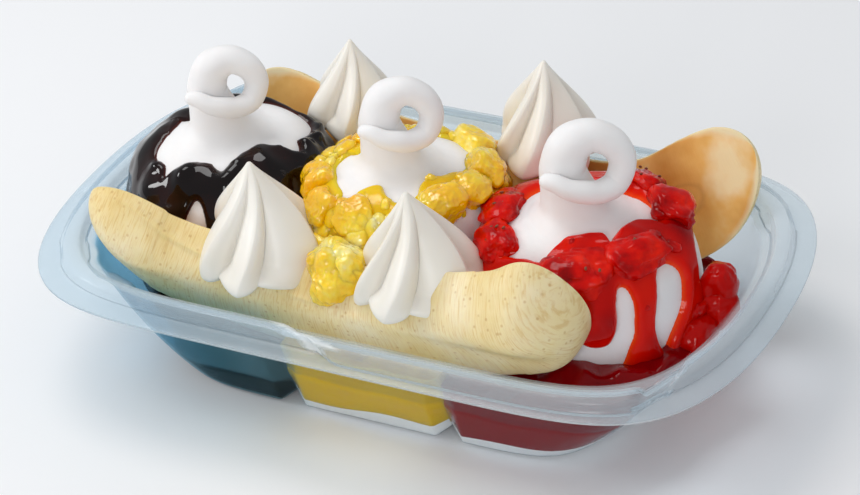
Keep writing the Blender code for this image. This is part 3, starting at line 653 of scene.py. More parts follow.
stars = {
    "cream_star_front_left": {"name": "creamStarFrontLeft", "foot": (-33.0, -33.0, 41.5), "tip": (-2.0, 0.0),
                              "radius": 19.4, "height": 33.0, "turn": 0.2, "seed": 3},
    "cream_star_front_right": {"name": "creamStarFrontRight", "foot": (14.5, -33.0, 43.0), "tip": (-2.2, 0.0),
                               "radius": 18.6, "height": 32.0, "turn": 0.9, "seed": 4},
    "cream_star_back_left": {"name": "creamStarBackLeft", "foot": (-37.5, 34.0, 49.0), "tip": (-1.0, 2.0),
                             "radius": 13.9, "height": 26.5, "turn": 0.4, "seed": 5},
    "cream_star_back_right": {"name": "creamStarBackRight", "foot": (22.8, 34.0, 50.0), "tip": (0.0, 2.0),
                              "radius": 16.2, "height": 30.0, "turn": 1.3, "seed": 6},
}
star = {
    "profile": ((0.0, 0.30), (0.0, 0.70), (0.0, 0.90), (0.03, 0.985), (0.13, 1.0), (0.28, 0.94), (0.45, 0.77),
                (0.62, 0.54), (0.78, 0.31), (0.90, 0.14), (0.985, 0.03)),
    "lobes": 6, "deep": 0.38, "twist": 0.75, "around": 384, "steps": 11,
}


def makeStar(node, material):
    # radius = profile(height) x a wave of full lobes meeting in sharp creases; the lobes turn a little on the way
    # up, lean to one side like draped cloth, hang lower than the creases, and fade into the drawn tip
    spec = stars[node]
    rows = catmull(star["profile"], star["steps"])
    # the curve through the rows dips just under the foot, so the height is held at 0 there
    high, wide = np.maximum(rows[:, :1], 0.0), rows[:, 1:]
    turns = (np.arange(star["around"]) * 2 * math.pi / star["around"])[None, :]
    random = np.random.default_rng(spec["seed"])
    uneven = sum(random.uniform(-0.13, 0.13) * np.sin(k * turns + random.uniform(0, 6.28)) for k in (1, 2, 3))
    phase = (turns + uneven) * star["lobes"] / (2 * math.pi) + spec["turn"]
    part = phase - np.floor(phase)
    drape = part ** 1.8
    crest = 0.7 * np.sin(math.pi * drape) ** 0.6 + 0.3 * (1 - np.abs(2 * drape - 1))
    deep = star["deep"] * smoothStep(1.04, 0.62, high) * (1 - 0.6 * smoothStep(0.24, 0.0, high))
    size = spec["radius"] * wide * (1 - deep * (1 - crest)) * (1 + 0.30 * uneven)
    twisted = turns + star["twist"] * high ** 1.2 + spec["turn"]
    hang = smoothStep(0.34, 0.0, high)
    lift = spec["height"] * high + (2.2 * (1 - crest) + 5.0 * uneven) * hang
    bend = high ** 1.6
    grid = np.stack([spec["foot"][0] + spec["tip"][0] * bend + size * np.cos(twisted),
                     spec["foot"][1] + spec["tip"][1] * bend + size * np.sin(twisted),
                     spec["foot"][2] + lift + 0 * turns], axis=-1)
    return makePiece(spec["name"], [closedSkin(grid)], material, node)


# ---- sauces

# A well's planes along X, the levels of its pool (up the wall, at the rim, over the top), how far the pool's side
# stands off the wall at the rim, and humps on its top as (x, y, reach, height).
sauces = {
    "chocolate": {"mound": "left", "well": (-300.0, -24.2), "bottom": 0.35, "contact": 7.6, "back": 3.0, "rim": 20.0,
                  "inner": 20.0, "off": 4.5, "humps": (), "thick": 1.6, "seed": 51, "edge": 2.2, "uneven": 0.55},
    "pineapple": {"mound": "middle", "well": (-24.2, 24.2), "bottom": 2.4, "contact": 14.0, "back": 2.4, "rim": 24.5,
                  "inner": 25.0, "off": 1.6, "humps": (), "thick": 1.5, "seed": 61, "edge": 2.0, "uneven": 0.3},
    "strawberry": {"mound": "right", "well": (24.2, 300.0), "bottom": 2.4, "contact": 14.0, "back": 2.6, "rim": 22.0,
                   "inner": 22.5, "off": 2.0, "thick": 2.5, "seed": 71, "edge": 2.0, "uneven": 0.3,
                   "humps": ((61.0, -33.0, 8.0, 5.5), (79.0, -19.0, 9.0, 3.5), (84.0, -4.0, 8.0, 5.5),
                             (72.0, -30.0, 7.0, 2.0))},
}
# Upper edge of the coat round each mound, as (angle from +X towards the back, height).
coatEdges = {
    "chocolate": ((-180, 61.1), (-172, 61.2), (-160, 60.9), (-147, 60.2), (-139, 59.1), (-133, 58.7), (-127, 59.0),
                  (-120, 58.9), (-114, 57.6), (-111, 58.8), (-108, 59.7), (-101, 60.4), (-91, 60.8), (-80, 60.7),
                  (-70, 60.2), (-63, 60.7), (-46, 61.5), (-24, 61.7), (-11, 61.2), (-4, 60.2), (1, 59.2), (9, 60.2),
                  (16, 60.0), (34, 58.3), (50, 57.4), (70, 59), (100, 60.4), (140, 61), (180, 61.1)),
    "pineapple": ((-180, 61), (-164, 60.3), (-150, 60.2), (-137, 60.1), (-122, 59.9), (-116, 59), (-112, 59.2),
                  (-106, 60.8), (-93, 61.8), (-84, 61.1), (-73, 60.5), (-62, 60.4), (-54, 60.5), (-39, 61.6),
                  (-24, 61.9), (-13, 61.3), (1, 61.1), (13, 60.5), (35, 60.4), (44, 60), (50, 58.2), (56, 57.8),
                  (75, 59.5), (110, 60), (150, 61), (180, 61)),
    "strawberry": ((-180, 55.3), (-168, 54.3), (-150, 55.4), (-136, 55.3), (-127, 54.4), (-124, 53.6), (-119, 54),
                   (-109, 54.6), (-98, 54.9), (-95, 56), (-90, 57.2), (-83, 58.2), (-72, 58.6), (-61, 58.6),
                   (-52, 58.2), (-48, 57.4), (-44, 56), (-41, 56.8), (-38, 57.1), (-20, 57.6), (-8, 57.4),
                   (1, 56.8), (5, 56), (14, 55.8), (29, 56.3), (43, 56.8), (63, 57.2), (90, 57.5), (130, 57),
                   (160, 55.8), (180, 55.3)),
}
# Places each coat leaves bare, as outlines of (angle, height).
coatBare = {
    "chocolate": (((-93, 38), (-91.5, 45), (-89.5, 49), (-87, 52), (-84.5, 53), (-81.5, 52.2), (-79, 50.4), (-77, 46),
                   (-75, 38)),),
    "pineapple": (((-230, 47), (-165, 49.5), (-150, 50.5), (-142, 48), (-128, 49.5), (-119, 49), (-116, 44),
                   (-115, 38), (-110, 32), (-102, 30), (-95, 32), (-89, 37), (-88, 46), (-80, 49), (-60, 51),
                   (-40, 54.5), (-30, 54.5), (-26, 55.4), (-22, 53.5), (-19, 55.6), (-11, 55), (0, 51.4), (14, 51.6),
                   (25, 50), (45, 46), (80, 44), (120, 44), (160, 46), (230, 46), (230, 26), (-230, 26)),),
    "strawberry": (((-17, 50.6), (-23, 50.6), (-29, 48), (-32.5, 41.2), (-33.5, 35.2), (-31.5, 29.8), (-27.5, 26.5),
                    (-24.5, 30.5), (-20.5, 34), (-15.5, 37), (-12.5, 39.5), (-11, 42), (-9.8, 44.5), (-9, 47.5),
                    (-12, 49.6)),
                   ((-52.5, 47.5), (-50.5, 49.6), (-46.2, 49.6), (-43.2, 47.8), (-42.7, 43.2), (-44.7, 36), (-48, 30.9),
                    (-51, 27), (-56, 23), (-75, 20), (-110, 20), (-110, 38), (-85, 38), (-76, 37.6), (-72, 35.6),
                    (-68, 34.2), (-63, 33.6), (-58, 34), (-55, 35.6), (-53.4, 38.5), (-53, 42.6)),
                   ((36, 48.5), (26, 49.2), (16, 49.2), (5, 46.2), (3, 42), (4, 37.7), (6, 33.5), (8, 30), (8, 22),
                    (70, 22), (70, 48), (50, 50))),
}
# Swellings of the coats as (angle, height, reach, rise).
coatSwells = {
    "chocolate": ((12, 59.0, 4.0, 1.6), (26, 56.6, 4.5, 2.2), (44, 55.5, 4.5, 2.0), (-30, 58.4, 7.0, 1.0),
                  (-128, 57.0, 4.0, 1.0), (-98, 57.5, 6.0, 1.2), (-66, 57.5, 6.0, 0.8)),
    "pineapple": (),
    "strawberry": ((-70, 50.0, 9.0, 1.2), (-44, 52.0, 7.0, 0.8), (-20, 53.0, 6.0, 1.0), (8, 52.5, 6.0, 1.2),
                   (-64, 38.5, 4.5, 0.8), (-12, 30.0, 5.0, 1.2), (-2, 36.0, 4.0, 1.0), (-150, 51.0, 6.0, 1.0)),
}
coatGrid = {"around": 440, "rows": 154, "low": 16.0, "sunk": 1.1, "scale": 30.0 * math.pi / 180}


def outlineDistance(x, y, corners):
    # signed distance in mm to a closed outline, positive inside
    best, inside = 1e6, False
    for (ax, ay), (bx, by) in zip(corners, np.roll(corners, -1, axis=0)):
        ex, ey = bx - ax, by - ay
        share = np.clip(((x - ax) * ex + (y - ay) * ey) / (ex * ex + ey * ey + 1e-9), 0, 1)
        best = np.minimum(best, np.hypot(x - ax - ex * share, y - ay - ey * share))
        crossed = ((ay > y) != (by > y)) & (x < ax + ex * (y - ay) / (ey if abs(ey) > 1e-9 else 1e-9))
        inside = inside ^ crossed
    return np.where(inside, best, -best)


def closedCurve(corners):
    # a closed outline rounded once by corner cutting, in mm round the mound
    rows = cornerCut([*corners, corners[0]], 1)[1:-1]
    return rows * (coatGrid["scale"], 1.0)


def coatReach(name, turn, z):
    # distance in mm from a point on the mound to the coat's nearest edge, positive inside the coat
    side = sauces[name]["mound"]
    smooth = catmull(np.array(coatEdges[name], float), 6)
    degrees = np.degrees(turn)
    place = np.stack([np.cos(turn) * 16, np.sin(turn) * 16, z * 0.6 + 0 * turn], -1)
    wiggle = lumpNoise(place, 3.6, sauces[name]["seed"], 2)
    slope = np.abs(profileAt(side, z + 0.4) - profileAt(side, z - 0.4)) / 0.8
    upper = np.interp(degrees, smooth[:, 0], smooth[:, 1])
    reach = (upper - z) * np.clip(np.sqrt(1 + slope ** 2), 1.0, 3.0)
    reach = reach - sauces[name]["back"] * smoothStep(170.0, 120.0, np.abs(degrees + 70.0))
    for corners in coatBare[name]:
        reach = np.minimum(reach, -outlineDistance(degrees * coatGrid["scale"], z, closedCurve(corners)))
    return reach + 0.35 * wiggle


def evenRows(grid, count):
    # a grid's rows taken again at even steps along its surface
    steps = np.linalg.norm(np.diff(grid, axis=0), axis=-1).mean(axis=1)
    gone = np.concatenate([[0], np.cumsum(steps)])
    place = np.interp(np.linspace(0, gone[-1], count), gone, np.arange(len(gone)))
    k = np.clip(place.astype(int), 0, len(grid) - 2)
    part = (place - k)[:, None, None]
    return grid[k] * (1 - part) + grid[k + 1] * part


def makeCoat(name):
    # the sauce on a mound: mound surface plus thickness x a rounded ramp of the distance to the coat's edge,
    # dipping under the mound outside it; returns the skin and how thick the sauce is at each point
    sauce = sauces[name]
    side = sauce["mound"]
    mound = mounds[side]
    base = moundSweep(side, coatGrid["around"])
    level = base[..., 2].mean(axis=1)
    last = int(np.argmax(level > mound["neck"] + 0.5))
    base = evenRows(base[int(np.argmax(level > coatGrid["low"])):last], coatGrid["rows"])
    normal = outwardNormals(base, (mound["x"], 0.0, 20.0))
    z = base[..., 2]
    turn = np.arctan2(base[..., 1], base[..., 0] - mound["x"])
    reach = coatReach(name, turn, z)
    edge = sauce["edge"]
    inside = np.clip(reach / edge, 0, 1)
    lumps = lumpNoise(base, 8.5, sauce["seed"] + 2, 2)
    full = sauce["thick"] * (1 + sauce["uneven"] * lumps)
    for angle, height, wide, rise in coatSwells[name]:
        away = np.hypot((np.degrees(turn) - angle) * coatGrid["scale"], (z - height) * 1.2)
        full = full + rise * np.exp(-(away / wide * 1.6) ** 2)
    thick = full * (1 - (1 - inside) ** 2) ** 0.6
    thick = np.where(reach > 0, thick, np.maximum(reach * 1.5, -coatGrid["sunk"]))
    outer = base + normal * thick[..., None]
    inner = base - normal * (coatGrid["sunk"] + 0.8)
    low, high = mound["limits"]
    for grid in (outer, inner):
        insideWall(grid, 0.7)
        grid[..., 0] = np.clip(grid[..., 0], low - 1.2, high + 1.2)
    rows = np.unique(np.concatenate([np.arange(0, len(inner), 12), [len(inner) - 1]]))
    inner = inner[rows]
    thickMark = np.concatenate([np.clip(thick, 0, 5), np.zeros(inner.shape[:2])])
    skin = shellSkin(outer, inner)
    return skin, thickMark.ravel()[:len(skin[0])]


def poolWaves(x, y, size, name, key):
    # smooth waves over a pool, the same wherever they are asked for
    return lumpNoise(np.stack([x, y, 0 * x], -1), size, sauces[name]["seed"] + 9 + key, 2)


def makePool(name):
    # the sauce in its well: against the wall up to the contact level, then standing off it up to the rim
    sauce = sauces[name]
    lowX, highX = sauce["well"]

    def humps(x, y):
        return sum((high * np.exp(-((x - a) ** 2 + (y - b) ** 2) / wide ** 2) for a, b, wide, high in sauce["humps"]),
                   0 * x)

    def contact(x, y):
        return sauce["contact"] + 1.3 * poolWaves(x, y, 16.0, name, 0)

    def rim(x, y):
        rise = 4.5 * smoothStep(40.0, 58.0, x) * smoothStep(14.0, 2.0, y) if name == "strawberry" else 0.0
        return sauce["rim"] + rise + 1.0 * poolWaves(x, y, 9.0, name, 1)

    def swell(x, y):
        rise = 3.0 * smoothStep(40.0, 58.0, x) * smoothStep(14.0, 2.0, y) if name == "strawberry" else 0.0
        return sauce["inner"] + rise + 1.5 * poolWaves(x, y, 6.0, name, 3) + humps(x, y)

    return wellFill(lowX + 0.25, highX - 0.25, sauce["bottom"], contact, rim, sauce["off"], swell)


def makeSauce(name, material):
    skin, thick = makeCoat(name)
    pool = makePool(name)
    skins, marks = [skin, pool], [thick, np.full(len(pool[0]), 4.0)]
    for place, size in looseLumps[name]:
        lump = roundLump(np.array(place), np.diag(size), 72, 44, int(sum(place)) % 97 + 7, 0.9, 0.17, 0.03)
        skins.append(lump)
        marks.append(np.full(len(lump[0]), 3.0))
    return makePiece(name + "Sauce", skins, material, name + "_sauce", {"thick": np.concatenate(marks)})


# ---- fruit

fruit = {"pineapple": {"nodes": 9, "stem": "pineapple_chunk_", "piece": "pineappleChunk", "rough": 0.20,
                       "square": 0.84, "shape": (1.12, 1.0, 0.80), "fine": 0.05, "sunk": 0.3},
         "strawberry": {"nodes": 7, "stem": "strawberry_piece_", "piece": "strawberryPiece", "rough": 0.26,
                        "square": 0.9, "shape": (1.42, 1.14, 0.66), "fine": 0.06, "sunk": 1.6}}

# Lumps of sauce away from the mounds: where, and half their size along each axis.
looseLumps = {
    "chocolate": (),
    "pineapple": (),
    "strawberry": (((86.6, 5.0, 38.2), (5.0, 6.0, 6.0)), ((86.8, 3.0, 32.4), (5.6, 6.5, 6.2)),
                   ((83.4, -4.0, 28.6), (6.0, 8.0, 5.2))),
}


def roundLump(centre, axes, around, rows, seed, square, rough, fine=0.0):
    # a superellipsoid on three half-axes, roughened along its radius by lattice noise
    polar = (np.arange(rows) + 0.5) / rows * math.pi
    turns = np.arange(around) * 2 * math.pi / around
    unit = np.stack([np.outer(np.sin(polar), np.cos(turns)), np.outer(np.sin(polar), np.sin(turns)),
                     np.outer(np.cos(polar), np.ones(around))], -1)
    shape = np.sign(unit) * np.abs(unit) ** square
    swell = 1 + rough * lumpNoise(unit * 10, 9.0, seed, 3)
    if fine:
        swell = swell + fine * (0.5 - np.abs(latticeNoise(unit * 10, 1.9, seed + 9)))
    return closedSkin(centre + (shape * swell[..., None]) @ np.asarray(axes))


def moundFrame(side, angle, z, out):
    # a point standing off a mound's surface, with the directions round it, up it and away from it
    turn = math.radians(angle)
    steep = float(profileAt(side, z + 0.5) - profileAt(side, z - 0.5))
    outward = np.array([math.cos(turn), math.sin(turn), -steep])
    outward /= np.linalg.norm(outward)
    sideways = np.array([-math.sin(turn), math.cos(turn), 0.0])
    radius = float(profileAt(side, z))
    point = np.array([mounds[side]["x"] + radius * math.cos(turn), radius * math.sin(turn), z]) + outward * out
    return point, sideways, np.cross(outward, sideways), outward


def solidPlace(kind, k):
    # a fruit solid's middle, its mean half-size, and the directions round, up and away from the mound there
    side = sauces[kind]["mound"]
    low, high = (np.array(corner) * 1000 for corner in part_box(fruit[kind]["stem"] + str(k)))
    centre = (low + high) / 2
    turn = math.degrees(math.atan2(centre[1], centre[0] - mounds[side]["x"]))
    return centre, float(np.mean(high - low)) / 2, *moundFrame(side, turn, centre[2], 0.0)[1:]


def makeFruit(kind, material):
    # one lump for each solid, at its middle and of its size, turned to lie against the mound
    spec = fruit[kind]
    for k in range(1, spec["nodes"] + 1):
        centre, size, *ways = solidPlace(kind, k)
        axes = [way * size * wide for way, wide in zip(ways, spec["shape"])]
        skin = roundLump(centre - ways[2] * spec["sunk"], axes, 84, 52, sauces[kind]["seed"] + k, spec["square"],
                         spec["rough"], spec["fine"])
        makePiece(spec["piece"] + str(k), [skin], material, spec["stem"] + str(k))


# Bits strewn over the coats, then bits set down singly as (place, half their size).
crushed = {"pineapple": {"count": 210, "size": (1.5, 3.3), "seed": 91, "rough": 0.20, "square": 0.78, "grid": (16, 10),
                         "high": 62.5, "margin": 0.55,
                         "single": (((-9.8, -36.0, 49.4), 6.0), ((-5.4, -36.4, 49.2), 6.2),
                                    ((-8.0, -38.6, 46.4), 7.4))},
           "strawberry": {"count": 60, "size": (1.1, 2.3), "seed": 95, "rough": 0.24, "square": 0.85, "grid": (14, 9),
                          "high": 57.5, "margin": 1.8, "single": ()}}


def makeCrushed(name, piece, material):
    # small bits strewn over the coat where it is thick enough, joined in one mesh
    spec = crushed[name]
    side = sauces[name]["mound"]
    random = np.random.default_rng(spec["seed"])
    skins = []
    low, high = mounds[side]["limits"]
    around, rows = spec["grid"]
    tried = random.uniform((-180, 28), (180, spec["high"]), (6000, 2))
    reaches = coatReach(name, np.radians(tried[:, 0]), tried[:, 1])
    for (angle, z), reach in zip(tried, reaches):
        size = random.uniform(*spec["size"])
        shape = random.uniform(0.7, 1.25, 3) * size
        spin = random.uniform(0, math.pi)
        if reach < spec["margin"] * size:
            continue
        point, sideways, upward, outward = moundFrame(side, angle, z, random.uniform(0.3, 1.5))
        if not low + size < point[0] < high - size:
            continue
        first = sideways * math.cos(spin) + upward * math.sin(spin)
        second = -sideways * math.sin(spin) + upward * math.cos(spin)
        axes = [first * shape[0], second * shape[1], outward * shape[2] * 0.8]
        skins.append(roundLump(point, axes, around, rows, spec["seed"] + len(skins), spec["square"], spec["rough"]))
        if len(skins) == spec["count"]:
            break
    for place, size in spec["single"]:
        axes = size * np.linalg.qr(random.normal(size=(3, 3)))[0]
        skins.append(roundLump(np.array(place), axes, 84, 52, spec["seed"] + len(skins), 0.9, 0.26, 0.07))
    return makePiece(piece, skins, material)


def makeSeeds(material):
    # flat pips on the strawberry lumps, each a drop 1.3 mm long standing a little out of the surface
    random = np.random.default_rng(97)
    skins = []
    for k in range(1, fruit["strawberry"]["nodes"] + 1):
        centre, size, sideways, upward, outward = solidPlace("strawberry", k)
        for _ in range(7):
            across, lift = random.uniform(-0.9, 0.9, 2)
            if math.hypot(across, lift) > 0.95:
                continue
            out = math.sqrt(1 - (across ** 2 + lift ** 2) * 0.9)
            spot = (centre + sideways * across * size * 1.1 + upward * lift * size * 0.95
                    + outward * (out * size * 0.66 - 1.2))
            axes = [sideways * 0.42, upward * 0.66, outward * 0.34]
            skins.append(roundLump(spot, axes, 8, 6, 5, 1.0, 0.0))
    return makePiece("strawberryPips", skins, material)


# ---- materials, named for the real stuff and how it was made

def thermoformedPlastic():
    # clear sheet drawn over a mould: see-through and wet-looking on the wall, cloudy on the flange where it is thick,
    # the blue of ice at the empty end and almost colourless at the other; painted shade turns the wall deep teal over
    # the chocolate well, and a painted highlight whitens the bead's folds
    material, tree, shader, place = newMaterial("thermoformedFrostedPlastic", {
        "Roughness": 0.17, "IOR": 1.5, "Specular IOR Level": 0.6})
    apart = addNode(tree, "ShaderNodeSeparateXYZ", links={"Vector": place})
    along = addNode(tree, "ShaderNodeMapRange", values={"From Min": -0.108, "From Max": 0.108},
                    links={"Value": apart.outputs["X"]})
    milkyAndHighlight = addNode(tree, "ShaderNodeAttribute", {"attribute_name": "milkyAndHighlight"})
    ramps = {}
    # painted shade: the wall's own colour darkens from pale blue at the left end to deep teal at 0.30 along X, over the
    # chocolate well, where the dark syrup behind leaves the wall in shade
    for name, stops in {
            "wall": ((0.0, "#7cc8ee"), (0.12, "#69b2d2"), (0.30, "#3f8192"), (0.385, "#7ba6b2"), (0.43, "#b4bec2"),
                     (1.0, "#c9d5dd")),
            "flange": ((0.0, "#d9e8f2"), (0.2, "#e4eff5"), (0.3, "#eaf2f6"), (0.6, "#f7f8f7"), (1.0, "#f5f9fc")),
            "tint": ((0.0, "#a4daf4"), (0.14, "#c6e6f3"), (0.36, "#d2e7ee"), (0.42, "#f5f8f9"),
                     (1.0, "#f1f6fa"))}.items():
        ramps[name] = addRamp(tree, stops, along.outputs["Result"])
    colour = addNode(tree, "ShaderNodeMix", {"data_type": "RGBA"}, None,
                     {"Factor": milkyAndHighlight.outputs["Fac"], "A": ramps["wall"], "B": ramps["flange"]})
    tree.links.new(colour.outputs["Result"], shader.inputs["Base Color"])
    cover = addNode(tree, "ShaderNodeMapRange",
                    values={"From Min": 0.34, "From Max": 0.42, "To Min": 0.27, "To Max": 0.015},
                    links={"Value": along.outputs["Result"]})
    wetted = addNode(tree, "ShaderNodeAttribute", {"attribute_name": "wetted"})
    bare = addNode(tree, "ShaderNodeMix", {"data_type": "FLOAT"}, {"B": 0.04},
                   {"Factor": wetted.outputs["Fac"], "A": cover.outputs["Result"]})
    # the share of the plastic's own colour rises on the thick flange, and further on the bead's folds, where it is a
    # painted highlight
    thickAndHighlit = addNode(tree, "ShaderNodeMix", {"data_type": "FLOAT", "clamp_factor": False}, {"B": 0.23},
                      {"Factor": milkyAndHighlight.outputs["Fac"], "A": bare.outputs["Result"]})
    edge = addNode(tree, "ShaderNodeLayerWeight", values={"Blend": 0.5})
    steep = addNode(tree, "ShaderNodeMath", {"operation": "POWER"}, {1: 4.0}, {0: edge.outputs["Facing"]})
    share = addNode(tree, "ShaderNodeMath", {"operation": "MULTIPLY_ADD", "use_clamp": True}, {1: 0.40},
                    {0: steep.outputs["Value"], 2: thickAndHighlit.outputs["Result"]})
    tint = addNode(tree, "ShaderNodeMix", {"data_type": "RGBA"}, {"B": hexColour("#edf4f8")},
                   {"Factor": milkyAndHighlight.outputs["Fac"], "A": ramps["tint"]})
    clear = addNode(tree, "ShaderNodeBsdfTransparent", links={"Color": tint.outputs["Result"]})
    both = addNode(tree, "ShaderNodeMixShader", links={0: share.outputs["Value"], 1: clear.outputs["BSDF"],
                                                       2: shader.outputs["BSDF"]})
    tree.links.new(both.outputs["Shader"], tree.nodes["Material Output"].inputs["Surface"])
    # ripples of the drawn sheet, about 4.5 mm apart
    noiseRelief(tree, shader, place, {"Scale": perMetre(4.55), "Detail": 2.0}, 0.00015, 0.5)
    return material


def vanillaSoftServe():
    # air-whipped milk ice: cool white, matt, light sinks a few millimetres in
    material, tree, shader, place = newMaterial("churnedVanillaSoftServe", {
        "Roughness": 0.5, "IOR": 1.36, "Subsurface Weight": 0.3, "Subsurface Radius": (1.0, 0.9, 0.85),
        "Subsurface Scale": 0.003})
    cloudColour(tree, shader, place, {"Scale": perMetre(16.67), "Detail": 3.0}, ((0.3, "#eeebea"), (0.7, "#f6f4f3")))
    # air bubbles, drawn ten times as coarse as they are so that they show
    noiseRelief(tree, shader, place, {"Scale": perMetre(1.11), "Detail": 3.0}, 0.0001, 0.5)
    return material


def whippedCream():
    # piped cream: warm white, silky, a little light through the thin ridges
    material, tree, shader, place = newMaterial("pipedWhippedCream", {
        "Roughness": 0.34, "IOR": 1.4, "Subsurface Weight": 0.15, "Subsurface Radius": (1.0, 0.85, 0.65),
        "Subsurface Scale": 0.0025})
    cloudColour(tree, shader, place, {"Scale": perMetre(22.22), "Detail": 2.0}, ((0.3, "#ece6da"), (0.7, "#f4f0e8")))
    noiseRelief(tree, shader, place, {"Scale": perMetre(2.0), "Detail": 2.0}, 0.00006, 0.3)
    return material


def thickRamp(tree, shader, low, high, stops):
    # base colour from the mark thick, through a ramp between two thicknesses in mm
    thick = addNode(tree, "ShaderNodeAttribute", {"attribute_name": "thick"})
    part = addNode(tree, "ShaderNodeMapRange", values={"From Min": low, "From Max": high},
                   links={"Value": thick.outputs["Fac"]})
    tree.links.new(addRamp(tree, stops, part.outputs["Result"]), shader.inputs["Base Color"])


def chocolateSyrup():
    # boiled cocoa syrup: nearly black, mirror-like, red-brown where it thins to the edge
    material, tree, shader, place = newMaterial("boiledChocolateSyrup", {
        "Roughness": 0.06, "IOR": 1.43, "Specular IOR Level": 0.38})
    thickRamp(tree, shader, 0.1, 1.8, ((0.0, "#54231a"), (0.3, "#260b08"), (1.0, "#0d0404")))
    # folds left as it ran, about 9 mm apart
    noiseRelief(tree, shader, place, {"Scale": perMetre(9.09), "Detail": 1.0}, 0.0008, 0.45)
    return material


def pineappleSyrup():
    # crushed fruit in sugar syrup: clear gold, deeper where it is thick
    material, tree, shader, place = newMaterial("crushedPineappleSyrup", {
        "Roughness": 0.08, "IOR": 1.4, "Subsurface Weight": 0.7, "Subsurface Radius": (1.0, 0.8, 0.12),
        "Subsurface Scale": 0.005})
    thickRamp(tree, shader, 0.2, 4.0, ((0.0, "#ffd028"), (0.4, "#fcbe00"), (0.8, "#f4b400"), (1.0, "#dcb000")))
    # crushed bits under the skin of the syrup, about 6 mm across
    noiseRelief(tree, shader, place, {"Scale": perMetre(6.25), "Detail": 3.0}, 0.0010, 0.6)
    return material


def pineappleFlesh():
    # cooked pineapple: glowing gold to pale yellow in clouds 13 mm across, with fibres 2 mm apart under a wet skin
    # of syrup
    material, tree, shader, place = newMaterial("candiedPineappleFlesh", {
        "Roughness": 0.10, "IOR": 1.42, "Subsurface Weight": 0.5, "Subsurface Radius": (1.0, 0.85, 0.2),
        "Subsurface Scale": 0.0016, "Coat Weight": 1.0, "Coat Roughness": 0.03, "Coat IOR": 1.45})
    # a wave repeats every 0.314 of its scale's unit
    fibres = addNode(tree, "ShaderNodeTexWave", links={"Vector": place},
                     values={"Scale": 0.314 * perMetre(1.96), "Distortion": 9.0, "Detail": 3.0})
    tone = cloudColour(tree, shader, place, {"Scale": perMetre(13.33), "Detail": 4.0, "Roughness": 0.6},
                       ((0.34, "#fdba00"), (0.48, "#ffca06"), (0.58, "#ffd938"), (0.70, "#ffefa4")))
    relief = addNode(tree, "ShaderNodeMath", {"operation": "MULTIPLY_ADD"}, {1: 0.12},
                     {0: fibres.outputs["Fac"], 2: tone})
    addBump(tree, shader, relief.outputs["Value"], 0.0016, 0.6)
    return material


def strawberrySyrup():
    # strawberry sauce: bright wet red, orange where it runs thin
    material, tree, shader, place = newMaterial("boiledStrawberrySauce", {
        "Roughness": 0.05, "IOR": 1.34, "Subsurface Weight": 0.25, "Subsurface Radius": (1.0, 0.06, 0.02),
        "Subsurface Scale": 0.002, "Specular IOR Level": 0.1, "Coat Weight": 0.35, "Coat Roughness": 0.02,
        "Coat IOR": 1.36})
    thickRamp(tree, shader, 0.2, 3.9, ((0.0, "#f24c14"), (0.3, "#e42004"), (0.6, "#d40e00"), (0.78, "#b40401"),
                                       (1.0, "#860106")))
    noiseRelief(tree, shader, place, {"Scale": perMetre(6.67), "Detail": 2.0}, 0.0004, 0.4)
    return material


def strawberryFlesh():
    # cooked strawberry: deep red with paler veins, wrinkled every 4 mm and wet
    material, tree, shader, place = newMaterial("candiedStrawberryFlesh", {
        "Roughness": 0.06, "IOR": 1.34, "Subsurface Weight": 0.3, "Subsurface Radius": (1.0, 0.08, 0.03),
        "Subsurface Scale": 0.002, "Specular IOR Level": 0.1, "Coat Weight": 0.4, "Coat Roughness": 0.02,
        "Coat IOR": 1.36})
    cloudColour(tree, shader, place, {"Scale": perMetre(6.67), "Detail": 4.0},
                ((0.34, "#960002"), (0.5, "#c80601"), (0.68, "#e62008")))
    noiseRelief(tree, shader, place, {"Scale": perMetre(4.35), "Detail": 2.0}, 0.0008, 0.6)
    return material


def strawberryPip():
    # strawberry pip: straw brown, dull
    material, tree, shader, place = newMaterial("driedStrawberryPip", {"Roughness": 0.4})
    shader.inputs["Base Color"].default_value = hexColour("#7d3a1c")
    return material


